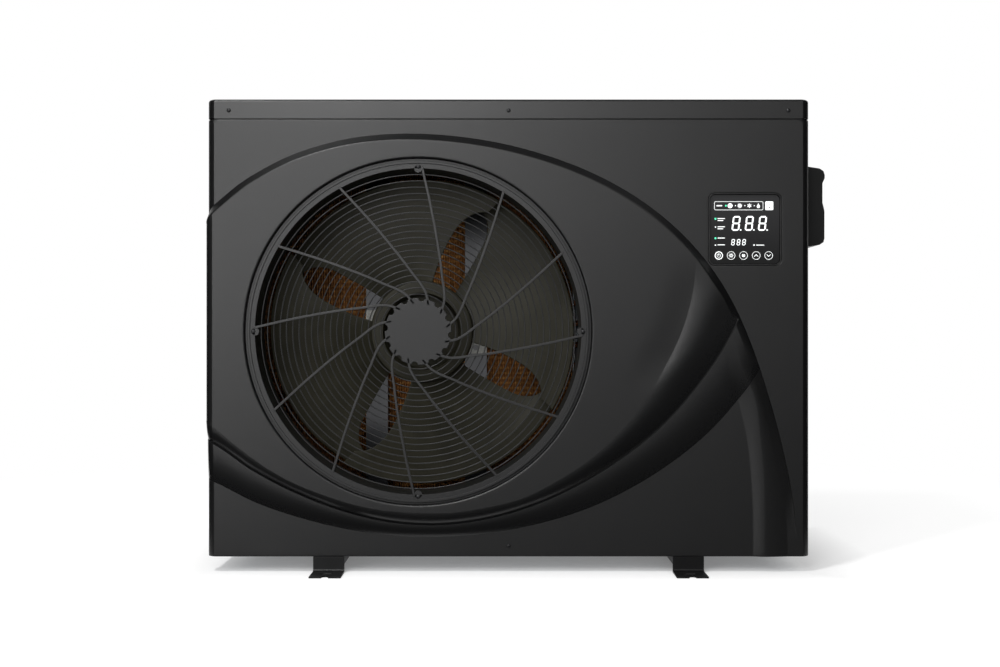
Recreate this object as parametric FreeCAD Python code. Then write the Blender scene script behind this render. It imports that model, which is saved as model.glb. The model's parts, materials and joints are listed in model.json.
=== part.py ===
"""Air-source heat pump for pool and spa water, as separate named pieces.

Units are millimetres.  +Z is up, the fan grille faces -Y and +X is to the right of
somebody who looks at the grille.  The origin lies on the floor, at the centre of the
four anchor slots of the two foot rails.
"""
import FreeCAD, Part
import math
import os

V = FreeCAD.Vector

# ---------------------------------------------------------------- overall sizes
casing_width = 900.0
casing_depth = 360.0
casing_height = 687.0
floor_gap = 24.0

# ---------------------------------------------------------------- casing sheets
sheet = 1.5
panel_wall = 3.0
corner_radius = 10.0
lid_skirt = 29.0
lid_seam = 1.5
pan_rim = 30.0
flange_width = 22.0
return_depth = 25.0
screw_radius = 2.2
screw_head_radius = 4.6
screw_head_height = 2.2

# ---------------------------------------------------------------- clearances
curve_gap = 0.3
running_gap = 0.05

# ---------------------------------------------------------------- feet
foot_width = 47.0
foot_spacing = 540.0
foot_sheet = 2.5
foot_flange = 50.0
slot_length = 20.0
slot_radius = 5.5
slot_from_casing = 24.0
notch_radius = 5.0
notch_depth = 9.0

# ---------------------------------------------------------------- rear coil guard
guard_bar = 3.0
guard_border = 20.0
guard_columns = 8
guard_row_pitch = 30.0

# ---------------------------------------------------------------- front styling
plateau_rise = 14.0
band_rise = 7.0
arch_slope = 4.0
band_slope = 20.0
side_band = 3.0
ridge_rise = 9.0

# ---------------------------------------------------------------- fan side
opening_radius = 259.0
fan_side_margin = 56.0
fan_height = 337.8
grille_gap = 4.0
grille_lip = 4.0
grille_ring = 7.5
guard_ring_count = 20
guard_ring_pitch = 9.4
guard_ring_width = 1.8
guard_ring_depth = 2.0
spoke_count = 12
spoke_width = 3.8
spoke_depth = 2.5
hub_plate_radius = 50.0
hub_notch_radius = 4.5
shroud_wall = 3.0
shroud_length = 90.0
tip_clearance = 5.5
fan_recess = 84.0
fan_hub_radius = 80.0
fan_hub_length = 50.0
fan_hub_wall = 4.0
blade_count = 4
blade_thickness = 3.0
shaft_radius = 6.0
motor_radius = 60.0
motor_gap = 8.0
rail_width = 36.0
rail_depth = 27.0
rail_offset = 82.2
rail_to_coil = 48.0

# ---------------------------------------------------------------- evaporator
coil_thickness = 40.0
coil_rear_gap = 20.5
coil_side_gap = 5.0
coil_height = 675.0
coil_corner = 50.0
fin_pitch = 10.0
fin_groove = 5.0
fin_groove_depth = 11.0
tube_radius = 4.8
tube_pitch = 36.0
tube_count = 18
tube_first = 26.5

# ---------------------------------------------------------------- machine bay
partition_gap = 16.0
compressor_radius = 62.0
compressor_height = 270.0
compressor_lift = 34.5
grommet_radius = 13.0
stud_radius = 4.0
accumulator_radius = 32.0
accumulator_height = 200.0
exchanger_radius = 72.0
exchanger_wall = 5.0
exchanger_height = 440.0
exchanger_lift = 34.5
coil_tube_radius = 8.0
water_pipe_radius = 25.0
water_pipe_wall = 4.0
water_low = 105.0
water_high = 405.0
gas_pipe_radius = 6.5
suction_pipe_radius = 8.0
drier_length = 110.0
liquid_pipe_radius = 5.0
pipe_wall = 1.0
pipe_bend = 14.0

# ---------------------------------------------------------------- water unions
socket_radius = 25.1
socket_wall = 5.0
socket_length = 34.0
union_thread_radius = 35.5
union_nut_radius = 44.0
union_nut_length = 32.0
union_nut_ribs = 16

# ---------------------------------------------------------------- display
display_width = 110.0
display_height = 109.0
display_corner = 10.0
display_right = 39.7
display_bottom = 437.0
display_recess = 4.0
glass_thickness = 3.0
bezel_wall = 2.0
bezel_depth = 15.0
board_thickness = 1.6

# ---------------------------------------------------------------- electrics
cover_height = 128.0
cover_length = 180.0
cover_reach = 40.3
cover_front = 60.0
cover_bottom = 467.0
cover_wall = 2.5
gland_radius = 11.0
gland_bore = 6.5
gland_length = 24.0
box_height = 290.0
box_depth = 105.0

# ---------------------------------------------------------------- places that follow
half_width = casing_width / 2
half_depth = casing_depth / 2
front = -half_depth
rear = half_depth
bottom = floor_gap
top = floor_gap + casing_height
floor_top = bottom + sheet
lid_bottom = top - lid_skirt
panel_top = lid_bottom - lid_seam
panel_back = front + panel_wall
side_outer = half_width - sheet
side_inner = side_outer - sheet
rear_inner = rear - sheet
lid_inner = top - sheet
plateau_front = front - plateau_rise

fan_x = -half_width + fan_side_margin + opening_radius
fan_z = bottom + fan_height
grille_radius = opening_radius - grille_gap
ring_outer = grille_radius - grille_lip
ring_inner = ring_outer - grille_ring
blade_radius = ring_inner - tip_clearance
grille_back = plateau_front + 6.0
hub_front = front + fan_recess
hub_back = hub_front + fan_hub_length
coil_rear = rear_inner - coil_rear_gap
coil_front = coil_rear - coil_thickness
rail_back = coil_front - rail_to_coil
rail_front = rail_back - rail_depth
coil_left = -side_inner + coil_side_gap
coil_left_inner = coil_left + coil_thickness
partition = fan_x + opening_radius + partition_gap
bay_left = partition + sheet
coil_right = partition - 28.0
coil_leg_front = front + 40.0


# ---------------------------------------------------------------- helpers
def save(shape, name):
    shape.exportStep("parts/" + name + ".step")


def block(x0, x1, y0, y1, z0, z1):
    return Part.makeBox(x1 - x0, y1 - y0, z1 - z0, V(x0, y0, z0))


def rod(radius, start, end):
    return Part.makeCylinder(radius, (end - start).Length, start, end - start)


def tube(outer, inner, start, end):
    return rod(outer, start, end).cut(rod(inner, start, end))


def joined(shapes):
    return shapes[0].fuse(shapes[1:]).removeSplitter()


def less(shape, tools):
    return shape.cut(Part.makeCompound(tools))


def is_upright(edge):
    run = edge.Vertexes[-1].Point - edge.Vertexes[0].Point
    return run.Length > 1.0 and abs(run.x) + abs(run.y) < 1e-6


def round_upright(shape, radius, wanted=None):
    edges = [e for e in shape.Edges if is_upright(e)]
    if wanted:
        edges = [e for e in edges if wanted(e.Vertexes[0].Point)]
    return shape.makeFillet(radius, edges)


def plate_y(points, y0, y1):
    """Return the outline of (x, z) points as a plate between two y values."""
    corners = [V(x, y0, z) for x, z in points]
    face = Part.Face(Part.makePolygon(corners + corners[:1]))
    return face.extrude(V(0, y1 - y0, 0))


def revolved(profile, x, z):
    """Turn a closed (radius, y) profile about the Y line through x and z."""
    corners = [V(x + r, y, z) for r, y in profile]
    face = Part.Face(Part.makePolygon(corners + corners[:1]))
    return face.revolve(V(x, 0, z), V(0, 1, 0), 360)


def bent_wire(points, bend):
    edges = []
    start = points[0]
    for before, corner, after in zip(points, points[1:], points[2:]):
        into = (corner - before).normalize()
        out = (after - corner).normalize()
        half_turn = into.getAngle(out) / 2
        setback = bend * math.tan(half_turn)
        first = corner - into * setback
        last = corner + out * setback
        inward = (out - into).normalize()
        middle = corner + inward * (bend / math.cos(half_turn) - bend)
        edges.append(Part.makeLine(start, first))
        edges.append(Part.Arc(first, middle, last).toShape())
        start = last
    edges.append(Part.makeLine(start, points[-1]))
    return Part.Wire(edges)


def swept(wire, radius):
    start = wire.Edges[0].Vertexes[0].Point
    heading = wire.Edges[0].Vertexes[-1].Point - start
    ring = Part.Wire(Part.makeCircle(radius, start, heading))
    return wire.makePipeShell([ring], True, True)


def bent_pipe(points, radius, bend=None):
    wire = bent_wire(points, bend or pipe_bend)
    return swept(wire, radius).cut(swept(wire, radius - pipe_wall))


def dome_can(radius, x, y, z0, z1, edge):
    can = Part.makeCylinder(radius, z1 - z0, V(x, y, z0))
    rims = [e for e in can.Edges if len(e.Vertexes) == 1]
    return can.makeFillet(edge, rims)


def screw_y(x, z, face, towards, reach):
    """Return a pan-head screw on a face at y, its head on the -towards side."""
    head = rod(screw_head_radius, V(x, face, z), V(x, face - towards * screw_head_height, z))
    shank = rod(screw_radius, V(x, face, z), V(x, face + towards * reach, z))
    slot = block(x - 3.0, x + 3.0, -0.5, 0.5, z - 0.5, z + 0.5)
    slot.translate(V(0, face - towards * screw_head_height, 0))
    cross = block(x - 0.5, x + 0.5, -0.5, 0.5, z - 3.0, z + 3.0)
    cross.translate(V(0, face - towards * screw_head_height, 0))
    return less(joined([head, shank]), [slot, cross])


def screw_hole(x, z, y0, y1):
    return rod(screw_radius + curve_gap, V(x, y0, z), V(x, y1, z))


# ---------------------------------------------------------------- front panel lines
# Each line runs from left to right as (x from the middle, z above the panel's edge).
arch_line = [
    (-449.6, 518.7), (-366.4, 581.7), (-270.4, 618.0), (-168.1, 632.6), (-64.7, 628.0),
    (36.3, 606.9), (133.0, 569.7), (221.3, 515.5), (293.5, 442.1), (343.0, 361.0),
    (395.0, 224.4), (418.8, 122.3), (431.3, 24.8), (432.3, 0.0)]
upper_band_line = [
    (-443.6, 171.4), (-382.2, 130.2), (-316.5, 96.2), (-247.2, 69.8), (-175.5, 53.0),
    (-102.1, 49.2), (-29.3, 58.7), (41.0, 79.7), (107.8, 110.5), (170.8, 149.8),
    (228.6, 196.5), (278.3, 251.8), (320.8, 312.5), (338.2, 345.3)]
lower_band_line = [
    (-443.5, 112.7), (-378.6, 80.8), (-310.1, 57.5), (-239.9, 40.7), (-168.1, 31.2),
    (-96.1, 30.0), (-24.5, 35.9), (46.2, 49.7), (114.7, 70.7), (180.1, 100.9),
    (241.5, 138.9), (297.7, 184.3), (346.0, 237.8), (367.5, 266.8)]
ridge_left_line = [(345.4, 232.5), (358.6, 173.4), (366.0, 93.8), (367.6, 12.0)]
ridge_crest_line = [(366.5, 236.4), (377.6, 174.9), (382.1, 100.0), (383.6, 12.0)]
ridge_right_line = [(386.0, 236.0), (401.0, 174.0), (416.0, 96.0), (423.0, 12.0)]

stretch_x = casing_width / 900.0
stretch_z = casing_height / 687.0


def shifted_line(line, inset):
    """Move a line towards its left side by inset, then lengthen both ends."""
    points = [V(x * stretch_x, 0, z * stretch_z) for x, z in line]
    moved = []
    for i, point in enumerate(points):
        run = points[min(i + 1, len(points) - 1)] - points[max(i - 1, 0)]
        run.normalize()
        moved.append(point + V(-run.z, 0, run.x) * inset)
    first = moved[0] + (moved[0] - moved[1]).normalize() * 60.0
    last = moved[-1] + (moved[-1] - moved[-2]).normalize() * 120.0
    return [first] + moved + [last]


def bounded_face(line, inset, y, far_x, far_z):
    """Close a line with straight edges through a far corner into a face at y."""
    points = [p + V(0, y, bottom) for p in shifted_line(line, inset)]
    curve = Part.BSplineCurve()
    curve.interpolate(points)
    first, last = points[0], points[-1]
    corners = [last, V(far_x[1], y, far_z), V(far_x[0], y, far_z), first]
    edges = [curve.toShape()]
    for a, b in zip(corners, corners[1:]):
        edges.append(Part.makeLine(a, b))
    return Part.Wire(edges)


def stacked(line, steps, far_x, far_z):
    """Loft a bounded region through (inset, y) steps."""
    wires = [bounded_face(line, inset, y, far_x, far_z) for inset, y in steps]
    return Part.makeLoft(wires, True, True)


far_corner = half_width + 80.0


def arch_region(inset):
    steps = [(-inset, front + return_depth), (-inset, front)]
    steps.append((-inset - arch_slope, front - plateau_rise + inset))
    return stacked(arch_line, steps, (-far_corner, far_corner), -200.0)


def band_region(line, inset, low, rise):
    half = (low + rise) / 2 + 1.2
    steps = [(inset, front + return_depth), (inset, front - low + inset)]
    steps.append((inset + band_slope * 0.3, front - half + inset))
    steps.append((inset + band_slope, front - rise + inset))
    return stacked(line, steps, (-far_corner, far_corner), top + 300.0)


def raised_region(inset):
    """Return what stands proud of the panel, or with an inset its hollow inside."""
    body = block(-half_width - side_band + inset, half_width, front - plateau_rise + inset,
                 front + return_depth, bottom - 5, top)
    body = round_upright(body, corner_radius - inset, lambda p: p.y < front)
    inside = arch_region(inset).common(body)
    upper = band_region(upper_band_line, inset, band_rise, plateau_rise).common(inside)
    lower = band_region(lower_band_line, inset, 0.0, band_rise).common(inside)
    return upper.fuse(lower)


def ridge():
    """Return the pointed ridge at the lower right of the panel."""
    wires = []
    for left, crest, right in zip(ridge_left_line, ridge_crest_line, ridge_right_line):
        y = panel_back
        corners = []
        for (x, z), rise in ((left, 0.0), (crest, ridge_rise), (right, 0.0)):
            corners.append(V(x * stretch_x, front - rise, bottom + z * stretch_z))
        low = [V(p.x, y, p.z) for p in (corners[2], corners[0])]
        loop = corners + low
        level = sum(p.z for p in loop) / len(loop)
        loop = [V(p.x, p.y, level) for p in loop]
        wires.append(Part.makePolygon(loop + loop[:1]))
    return Part.makeLoft(wires, True, True)


# ---------------------------------------------------------------- casing
lid_screw_x = [-half_width + 30.0, 0.0, half_width - 30.0]
lid_screw_z = lid_bottom + 12.0
foot_screw_z = bottom + 15.8
tongue_back = front + sheet + panel_wall


def make_front_panel():
    outer = block(-half_width, half_width, front, front + return_depth, bottom, panel_top)
    outer = round_upright(outer, corner_radius, lambda p: p.y < front + 1)
    inner = block(-half_width + panel_wall, half_width - panel_wall, panel_back,
                  front + return_depth + 1, bottom - 1, panel_top + 1)
    inner = round_upright(inner, corner_radius - panel_wall, lambda p: p.y < panel_back + 1)
    tongue = block(-half_width + 12, half_width - 12, front + sheet, tongue_back,
                   panel_top - 8, lid_bottom + 18)
    wall = rod(opening_radius + panel_wall, V(fan_x, plateau_front, fan_z),
               V(fan_x, panel_back, fan_z))
    hole = rod(opening_radius, V(fan_x, plateau_front - 5, fan_z),
               V(fan_x, front + return_depth + 5, fan_z))
    shell = outer.fuse([raised_region(0.0), ridge()])
    shell = shell.cut(inner).cut(raised_region(panel_wall))
    shell = shell.cut(block(-half_width - 10, half_width + 10, front - 40,
                            front + return_depth + 5, bottom - 60, bottom))
    shell = shell.fuse([wall, tongue]).removeSplitter()
    x1 = half_width - display_right
    window = block(x1 - display_width, x1, front - 30, panel_back + 1,
                   bottom + display_bottom, bottom + display_bottom + display_height)
    lying = [e for e in window.Edges if abs(e.tangentAt(e.FirstParameter).y) > 0.99]
    window = window.makeFillet(display_corner, lying)
    holes = [screw_hole(x, lid_screw_z, front - 5, tongue_back + 5) for x in lid_screw_x]
    holes.append(screw_hole(0.0, foot_screw_z, front - 5, panel_back + 5))
    return less(shell, [hole, window] + holes)


def make_top_cover():
    lid_rear = rear + sheet
    outer = block(-half_width, half_width, front, lid_rear, lid_bottom, top)
    outer = round_upright(outer, corner_radius)
    edges = [e for e in outer.Edges if min(v.Point.z for v in e.Vertexes) > top - 0.01]
    outer = outer.makeFillet(3.0, edges)
    inner = block(-half_width + sheet, half_width - sheet, front + sheet,
                  lid_rear - sheet, lid_bottom - 1, lid_inner)
    inner = round_upright(inner, corner_radius - sheet)
    boss = block(-half_width + 60, half_width - 60, front + 60, lid_rear - 60,
                 top - 0.5, top + 3.0)
    boss = round_upright(boss, 24.0)
    holes = [screw_hole(x, lid_screw_z, front - 5, front + 5) for x in lid_screw_x]
    holes += [screw_hole(x, lid_screw_z, rear - 5, rear + 5) for x in rear_screw_x]
    holes += [side_hole(y, lid_screw_z) for y in side_screw_y]
    return less(joined([outer.cut(inner), boss]), holes)


def side_hole(y, z):
    return rod(screw_radius + curve_gap, V(-half_width - 5, y, z), V(half_width + 5, y, z))


rear_screw_x = [-half_width + 14.0, partition + 20.0, half_width - 14.0]
side_screw_y = [front + 80.0, rear - 60.0]
foot_side_z = bottom + 15.0


def make_base_pan():
    outer = block(-side_inner, side_inner, panel_back, rear_inner, bottom, bottom + pan_rim)
    outer = round_upright(outer, corner_radius - sheet)
    inner = block(-side_inner + sheet, side_inner - sheet, panel_back + sheet,
                  rear_inner - sheet, floor_top, bottom + pan_rim + 1)
    inner = round_upright(inner, corner_radius - 2 * sheet)
    pan = outer.cut(inner)
    holes = [screw_hole(0.0, foot_screw_z, panel_back - 5, panel_back + 5)]
    holes += [side_hole(y, foot_side_z) for y in side_screw_y]
    holes += [screw_hole(x, foot_side_z, rear_inner - 5, rear_inner + 5)
              for x in rear_screw_x]
    holes.append(rod(drain_radius + curve_gap, V(drain_x, drain_y, bottom - 5),
                     V(drain_x, drain_y, floor_top + 5)))
    for x, y in stud_places():
        holes.append(rod(stud_radius + curve_gap, V(x, y, bottom - 5), V(x, y, floor_top + 5)))
    return less(pan, holes)


drain_radius = 9.0
drain_x = fan_x
drain_y = coil_front - 30.0


def make_drain_spigot():
    low = V(drain_x, drain_y, bottom - 19.0)
    stem = rod(drain_radius, low, V(drain_x, drain_y, floor_top + 4.0))
    collar = rod(drain_radius + 6, V(drain_x, drain_y, bottom - 3.0), V(drain_x, drain_y, bottom))
    rim = rod(drain_radius + 4, V(drain_x, drain_y, floor_top), V(drain_x, drain_y, floor_top + 2))
    bore = rod(drain_radius - 2, V(drain_x, drain_y, bottom - 30.0), V(drain_x, drain_y, bottom + 30))
    return joined([stem, collar, rim]).cut(bore)


def make_foot_rail(x):
    """Return a pressed strip that steps down to a floor flange at both ends."""
    t = foot_sheet
    reach = half_depth + foot_flange
    under = bottom - t
    path = [(-reach, 0), (-half_depth + t, 0), (-half_depth + t, under), (half_depth - t, under),
            (half_depth - t, 0), (reach, 0), (reach, t), (half_depth, t), (half_depth, bottom),
            (-half_depth, bottom), (-half_depth, t), (-reach, t)]
    corners = [V(x - foot_width / 2, y, z) for y, z in path]
    strip = Part.Face(Part.makePolygon(corners + corners[:1])).extrude(V(foot_width, 0, 0))
    bends = []
    for edge in strip.Edges:
        p = edge.Vertexes[0].Point
        along = abs(edge.tangentAt(edge.FirstParameter).x) > 0.99
        if along and abs(abs(p.y) - half_depth) < 0.01 and abs(p.z - t) < 0.01:
            bends.append(edge)
    strip = strip.makeFillet(3.0, bends)
    tools = []
    for way in (-1, 1):
        y = way * (half_depth + slot_from_casing)
        half_run = slot_length / 2 - slot_radius
        for side in (-1, 1):
            tools.append(rod(slot_radius, V(x + side * half_run, y, -5), V(x + side * half_run, y, 9)))
        tools.append(block(x - half_run, x + half_run, y - slot_radius, y + slot_radius, -5, 9))
        edge_y = way * reach
        tip = edge_y - way * notch_depth
        tools.append(rod(notch_radius, V(x, tip + way * notch_radius, -5),
                         V(x, tip + way * notch_radius, 9)))
        near, far = sorted((tip + way * notch_radius, edge_y + way))
        tools.append(block(x - notch_radius, x + notch_radius, near, far, -5, 9))
    for side in (-1, 1):
        rib = block(x + side * (foot_width / 2 - t / 2) - t / 2, x + side * (foot_width / 2 - t / 2) + t / 2,
                    -half_depth + t, half_depth - t, under - 9, under)
        strip = strip.fuse(rib)
    return less(strip.removeSplitter(), tools)


def side_shell(side):
    """Return a side wall with its rear flange; side is -1 for left and 1 for right."""
    edge = side * side_outer
    x0, x1 = sorted((edge, edge - side * flange_width))
    outer = block(x0, x1, front + return_depth, rear, bottom, lid_inner)
    outer = round_upright(outer, corner_radius, lambda p: abs(p.x - edge) < 1 and p.y > rear - 1)
    x0, x1 = sorted((edge - side * sheet, edge - side * (flange_width + 1)))
    inner = block(x0, x1, front + return_depth - 1, rear_inner, bottom - 1, lid_inner + 1)
    inner = round_upright(inner, corner_radius - sheet,
                          lambda p: abs(p.x - edge + side * sheet) < 0.1 and p.y > rear_inner - 1)
    return outer.cut(inner)


def make_side_panel_left():
    panel = side_shell(-1)
    tools = [side_hole(y, z) for y in side_screw_y for z in (foot_side_z, lid_screw_z)]
    tools += [screw_hole(rear_screw_x[0], z, rear - 5, rear + 5) for z in (foot_side_z, lid_screw_z)]
    tools = [t.common(block(-half_width - 9, 0, -999, 999, 0, 999)) for t in tools]
    run = casing_depth - return_depth - 50.0
    slots = int((lid_bottom - bottom - 90.0) / 24.0)
    width = (run - 2 * 14.0) / 3
    for column in range(3):
        y0 = front + return_depth + 20.0 + column * (width + 14.0)
        for row in range(slots):
            z0 = bottom + 50.0 + row * 24.0
            tools.append(block(-side_outer - 5, -side_inner + 5, y0, y0 + width, z0, z0 + 14.0))
    return less(panel, tools)


def make_side_panel_right():
    panel = side_shell(1)
    tools = [side_hole(y, z) for y in side_screw_y for z in (foot_side_z, lid_screw_z)]
    tools += [screw_hole(rear_screw_x[2], z, rear - 5, rear + 5) for z in (foot_side_z, lid_screw_z)]
    tools = [t.common(block(0, half_width + 9, -999, 999, 0, 999)) for t in tools]
    y0 = front + cover_front
    tools.append(block(side_inner - 5, side_outer + 5, y0 + 70, y0 + cover_length - 30,
                       bottom + cover_bottom + 20, bottom + cover_bottom + 40))
    return less(panel, tools)


def make_rear_service_panel():
    x0, x1 = partition, side_outer - flange_width
    panel = block(x0, x1, rear_inner, rear, bottom, lid_inner)
    tools = [screw_hole(rear_screw_x[1], z, rear - 5, rear + 5) for z in (foot_side_z, lid_screw_z)]
    for z in (water_low_z, water_high_z):
        tools.append(rod(water_pipe_radius + curve_gap, V(exchanger_x, rear - 5, z),
                         V(exchanger_x, rear + 5, z)))
    width = (x1 - x0 - 60.0) / 3
    for row in range(6):
        for column in range(3):
            xa = x0 + 20.0 + column * (width + 10.0)
            za = lid_bottom - 40.0 - row * 18.0
            tools.append(block(xa, xa + width, rear - 5, rear + 5, za - 7.0, za))
    return less(panel, tools)


def make_rear_coil_guard():
    """Return a frame of four sheet strips with a grid of square bars welded behind its window."""
    x0, x1 = -side_outer + flange_width, partition
    window_x0, window_x1 = x0 + guard_border, x1 - guard_border
    window_z0, window_z1 = bottom + pan_rim + guard_border, lid_bottom - guard_border
    pieces = [
        block(x0, x1, rear_inner, rear, bottom, window_z0),
        block(x0, x1, rear_inner, rear, window_z1, lid_inner),
        block(x0, window_x0, rear_inner, rear, window_z0, window_z1),
        block(window_x1, x1, rear_inner, rear, window_z0, window_z1),
    ]
    half = guard_bar / 2
    near = rear_inner - guard_bar
    first_x = window_x0 - guard_bar
    pitch = (window_x1 + guard_bar - first_x) / (guard_columns - 1)
    for column in range(guard_columns):
        x = first_x + column * pitch
        pieces.append(block(x - half, x + half, near, rear_inner, window_z0 - 8, window_z1 + 8))
    last_x = window_x1 + guard_bar
    rows = int((window_z1 - window_z0) / guard_row_pitch)
    step = (window_z1 - window_z0) / rows
    for row in range(1, rows):
        z = window_z0 + row * step
        pieces.append(block(first_x - half, last_x + half, near - guard_bar, near, z - half, z + half))
    return Part.makeCompound(pieces)


def make_partition():
    near = front + sheet + panel_wall + 0.5
    plate = block(partition, bay_left, near, rear_inner - sheet, floor_top, lid_inner)
    tools = []
    for y, z, radius in ((coil_mid_y, coil_low_z, liquid_pipe_radius),
                         (coil_mid_y, coil_high_z, gas_pipe_radius)):
        tools.append(rod(radius + curve_gap, V(partition - 5, y, z), V(bay_left + 5, y, z)))
    return less(plate, tools)


# ---------------------------------------------------------------- fan side
def around_fan(shape, count):
    turns = []
    for i in range(count):
        turn = shape.copy()
        turn.rotate(V(fan_x, 0, fan_z), V(0, -1, 0), i * 360.0 / count)
        turns.append(turn)
    return turns


def grille_screw_radius():
    return (ring_inner + ring_outer) / 2 - 1.0


def make_fan_shroud():
    r = ring_inner
    w = shroud_wall
    y0 = grille_back
    y1 = y0 + 3.0
    end = y0 + shroud_length
    outer = opening_radius - 0.5
    flange = opening_radius + 13.0
    profile = [(r, y0), (outer, y0), (outer, y1), (r + w, y1), (r + w, panel_back),
               (flange, panel_back), (flange, panel_back + 2.5), (r + w, panel_back + 2.5),
               (r + w, end - 14.0), (r + w + 8.0, end), (r + 5.0, end), (r, end - 12.0)]
    shroud = revolved(profile, fan_x, fan_z)
    s = grille_screw_radius()
    boss = rod(5.5, V(fan_x + s, y1 - 1, fan_z), V(fan_x + s, y1 + 14.0, fan_z))
    keep = tube(opening_radius, r, V(fan_x, y1 - 1, fan_z), V(fan_x, y1 + 20, fan_z))
    bosses = [b.common(keep) for b in around_fan(boss, 4)]
    pilot = rod(screw_radius + curve_gap, V(fan_x + s, y0 - 5, fan_z), V(fan_x + s, y1 + 12.0, fan_z))
    return less(joined([shroud] + bosses), around_fan(pilot, 4))


# Each pair is (share of the way in from the ring, turn in degrees from the rim end).
spoke_turns = [(0.0, 0.0), (0.31, -4.9), (0.56, -11.1), (0.785, -21.5), (0.966, -41.2),
               (1.04, -50.0)]


def spoke_blade():
    left, right = [], []
    outer = ring_inner + 3.0
    span = ring_inner - hub_plate_radius
    centre = []
    for share, turn in spoke_turns:
        r = outer if share == 0.0 else ring_inner - span * share
        angle = math.radians(turn - 1.3)
        centre.append(V(fan_x + r * math.cos(angle), 0, fan_z + r * math.sin(angle)))
    curve = Part.BSplineCurve()
    curve.interpolate(centre)
    steps = 14
    for i in range(steps + 1):
        u = curve.FirstParameter + (curve.LastParameter - curve.FirstParameter) * i / steps
        along = curve.tangent(u)[0]
        across = V(-along.z, 0, along.x) * (spoke_width / 2)
        point = curve.value(u)
        left.append(point + across)
        right.append(point - across)
    a, b = Part.BSplineCurve(), Part.BSplineCurve()
    a.interpolate(left)
    b.interpolate(right)
    ends = [Part.makeLine(left[0], right[0]), Part.makeLine(left[-1], right[-1])]
    face = Part.Face(Part.Wire(Part.__sortEdges__([a.toShape(), b.toShape()] + ends)))
    face.translate(V(0, grille_back - 2.0 - spoke_depth, 0))
    return face.extrude(V(0, spoke_depth, 0))


def make_fan_grille():
    back = grille_back
    face = back - 2.0 - spoke_depth
    lip = tube(grille_radius, ring_outer, V(fan_x, back - 5.0, fan_z), V(fan_x, back, fan_z))
    ring = tube(ring_outer, ring_inner, V(fan_x, back - 3.5, fan_z), V(fan_x, back, fan_z))
    s = grille_screw_radius()
    boss = rod(8.0, V(fan_x + s - 3.0, back - 3.5, fan_z), V(fan_x + s - 3.0, back, fan_z))
    keep = rod(ring_outer, V(fan_x, back - 9, fan_z), V(fan_x, back, fan_z))
    bosses = [b.common(keep) for b in around_fan(boss, 4)]
    rings = []
    for i in range(guard_ring_count):
        r = ring_inner - 8.0 - i * guard_ring_pitch
        if r > hub_plate_radius:
            rings.append(tube(r, r - guard_ring_width, V(fan_x, back - guard_ring_depth, fan_z),
                              V(fan_x, back, fan_z)))
    hub = rod(hub_plate_radius, V(fan_x, face, fan_z), V(fan_x, back, fan_z))
    notch = rod(hub_notch_radius, V(fan_x + hub_plate_radius, face - 5, fan_z),
                V(fan_x + hub_plate_radius, back + 5, fan_z))
    notch.rotate(V(fan_x, 0, fan_z), V(0, -1, 0), -36.0)
    hub = less(hub, around_fan(notch, spoke_count))
    spokes = around_fan(spoke_blade(), spoke_count)
    grille = lip.fuse([ring, hub] + bosses + rings + spokes).removeSplitter()
    hole = rod(screw_radius + curve_gap, V(fan_x + s, back - 9, fan_z), V(fan_x + s, back + 5, fan_z))
    seat = rod(screw_head_radius + curve_gap, V(fan_x + s, back - 9, fan_z),
               V(fan_x + s, back - 3.5, fan_z))
    return less(grille, around_fan(hole.fuse(seat), 4))


def make_grille_screws():
    s = grille_screw_radius()
    return Part.makeCompound(around_fan(screw_y(fan_x + s, fan_z, grille_back - 3.5, 1, 14.0), 4))


def blade():
    """Return one swept, pitched blade that reaches from the hub to the tip."""
    grid = []
    radii = [fan_hub_radius - 3.0]
    for i in range(1, 6):
        radii.append(fan_hub_radius + (blade_radius - fan_hub_radius) * i / 5.0)
    for i, r in enumerate(radii):
        share = i / 5.0
        half_angle = 27.0 + 13.0 * share
        sweep = -6.0 * share * share
        row = []
        for j in range(7):
            along = j / 6.0
            angle = math.radians(sweep - half_angle + 2 * half_angle * along)
            depth = 5.0 + (fan_hub_length - 14.0) * (along ** 1.15) - 5.0 * share * (1 - along)
            row.append(V(fan_x + r * math.cos(angle), hub_front + depth, fan_z + r * math.sin(angle)))
        grid.append(row)
    surface = Part.BSplineSurface()
    surface.interpolate(grid)
    return surface.toShape().extrude(V(0, blade_thickness, 0))


def make_fan():
    cup = rod(fan_hub_radius, V(fan_x, hub_front, fan_z), V(fan_x, hub_back, fan_z))
    rims = [e for e in cup.Edges if len(e.Vertexes) == 1 and abs(e.Vertexes[0].Point.y - hub_front) < 0.1]
    cup = cup.makeFillet(5.0, rims)
    hollow = rod(fan_hub_radius - fan_hub_wall, V(fan_x, hub_front + fan_hub_wall, fan_z),
                 V(fan_x, hub_back + 1, fan_z))
    boss = rod(16.0, V(fan_x, hub_front - 5.0, fan_z), V(fan_x, hub_front + 30.0, fan_z))
    cup = cup.cut(hollow)
    keep = rod(fan_hub_radius - 1.0, V(fan_x, hub_front, fan_z), V(fan_x, hub_back, fan_z))
    blades = around_fan(blade(), blade_count)
    blades = [b.cut(rod(fan_hub_radius - 2.0, V(fan_x, hub_front - 9, fan_z),
                        V(fan_x, hub_back + 9, fan_z))) for b in blades]
    rib = block(fan_x + 10.0, fan_x + fan_hub_radius - 1.0, hub_front + 3.0, hub_front + 18.0,
                fan_z - 1.5, fan_z + 1.5)
    ribs = around_fan(rib, 6)
    wheel = cup.fuse([boss] + ribs + blades).removeSplitter()
    bore = rod(shaft_radius + curve_gap, V(fan_x, hub_front - 20, fan_z), V(fan_x, hub_back, fan_z))
    wheel = wheel.cut(bore)
    wheel.rotate(V(fan_x, 0, fan_z), V(0, -1, 0), 22.0)
    return wheel


def make_motor_shaft():
    return rod(shaft_radius, V(fan_x, hub_front - 18.0, fan_z), V(fan_x, rail_front - 20.0, fan_z))


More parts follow.
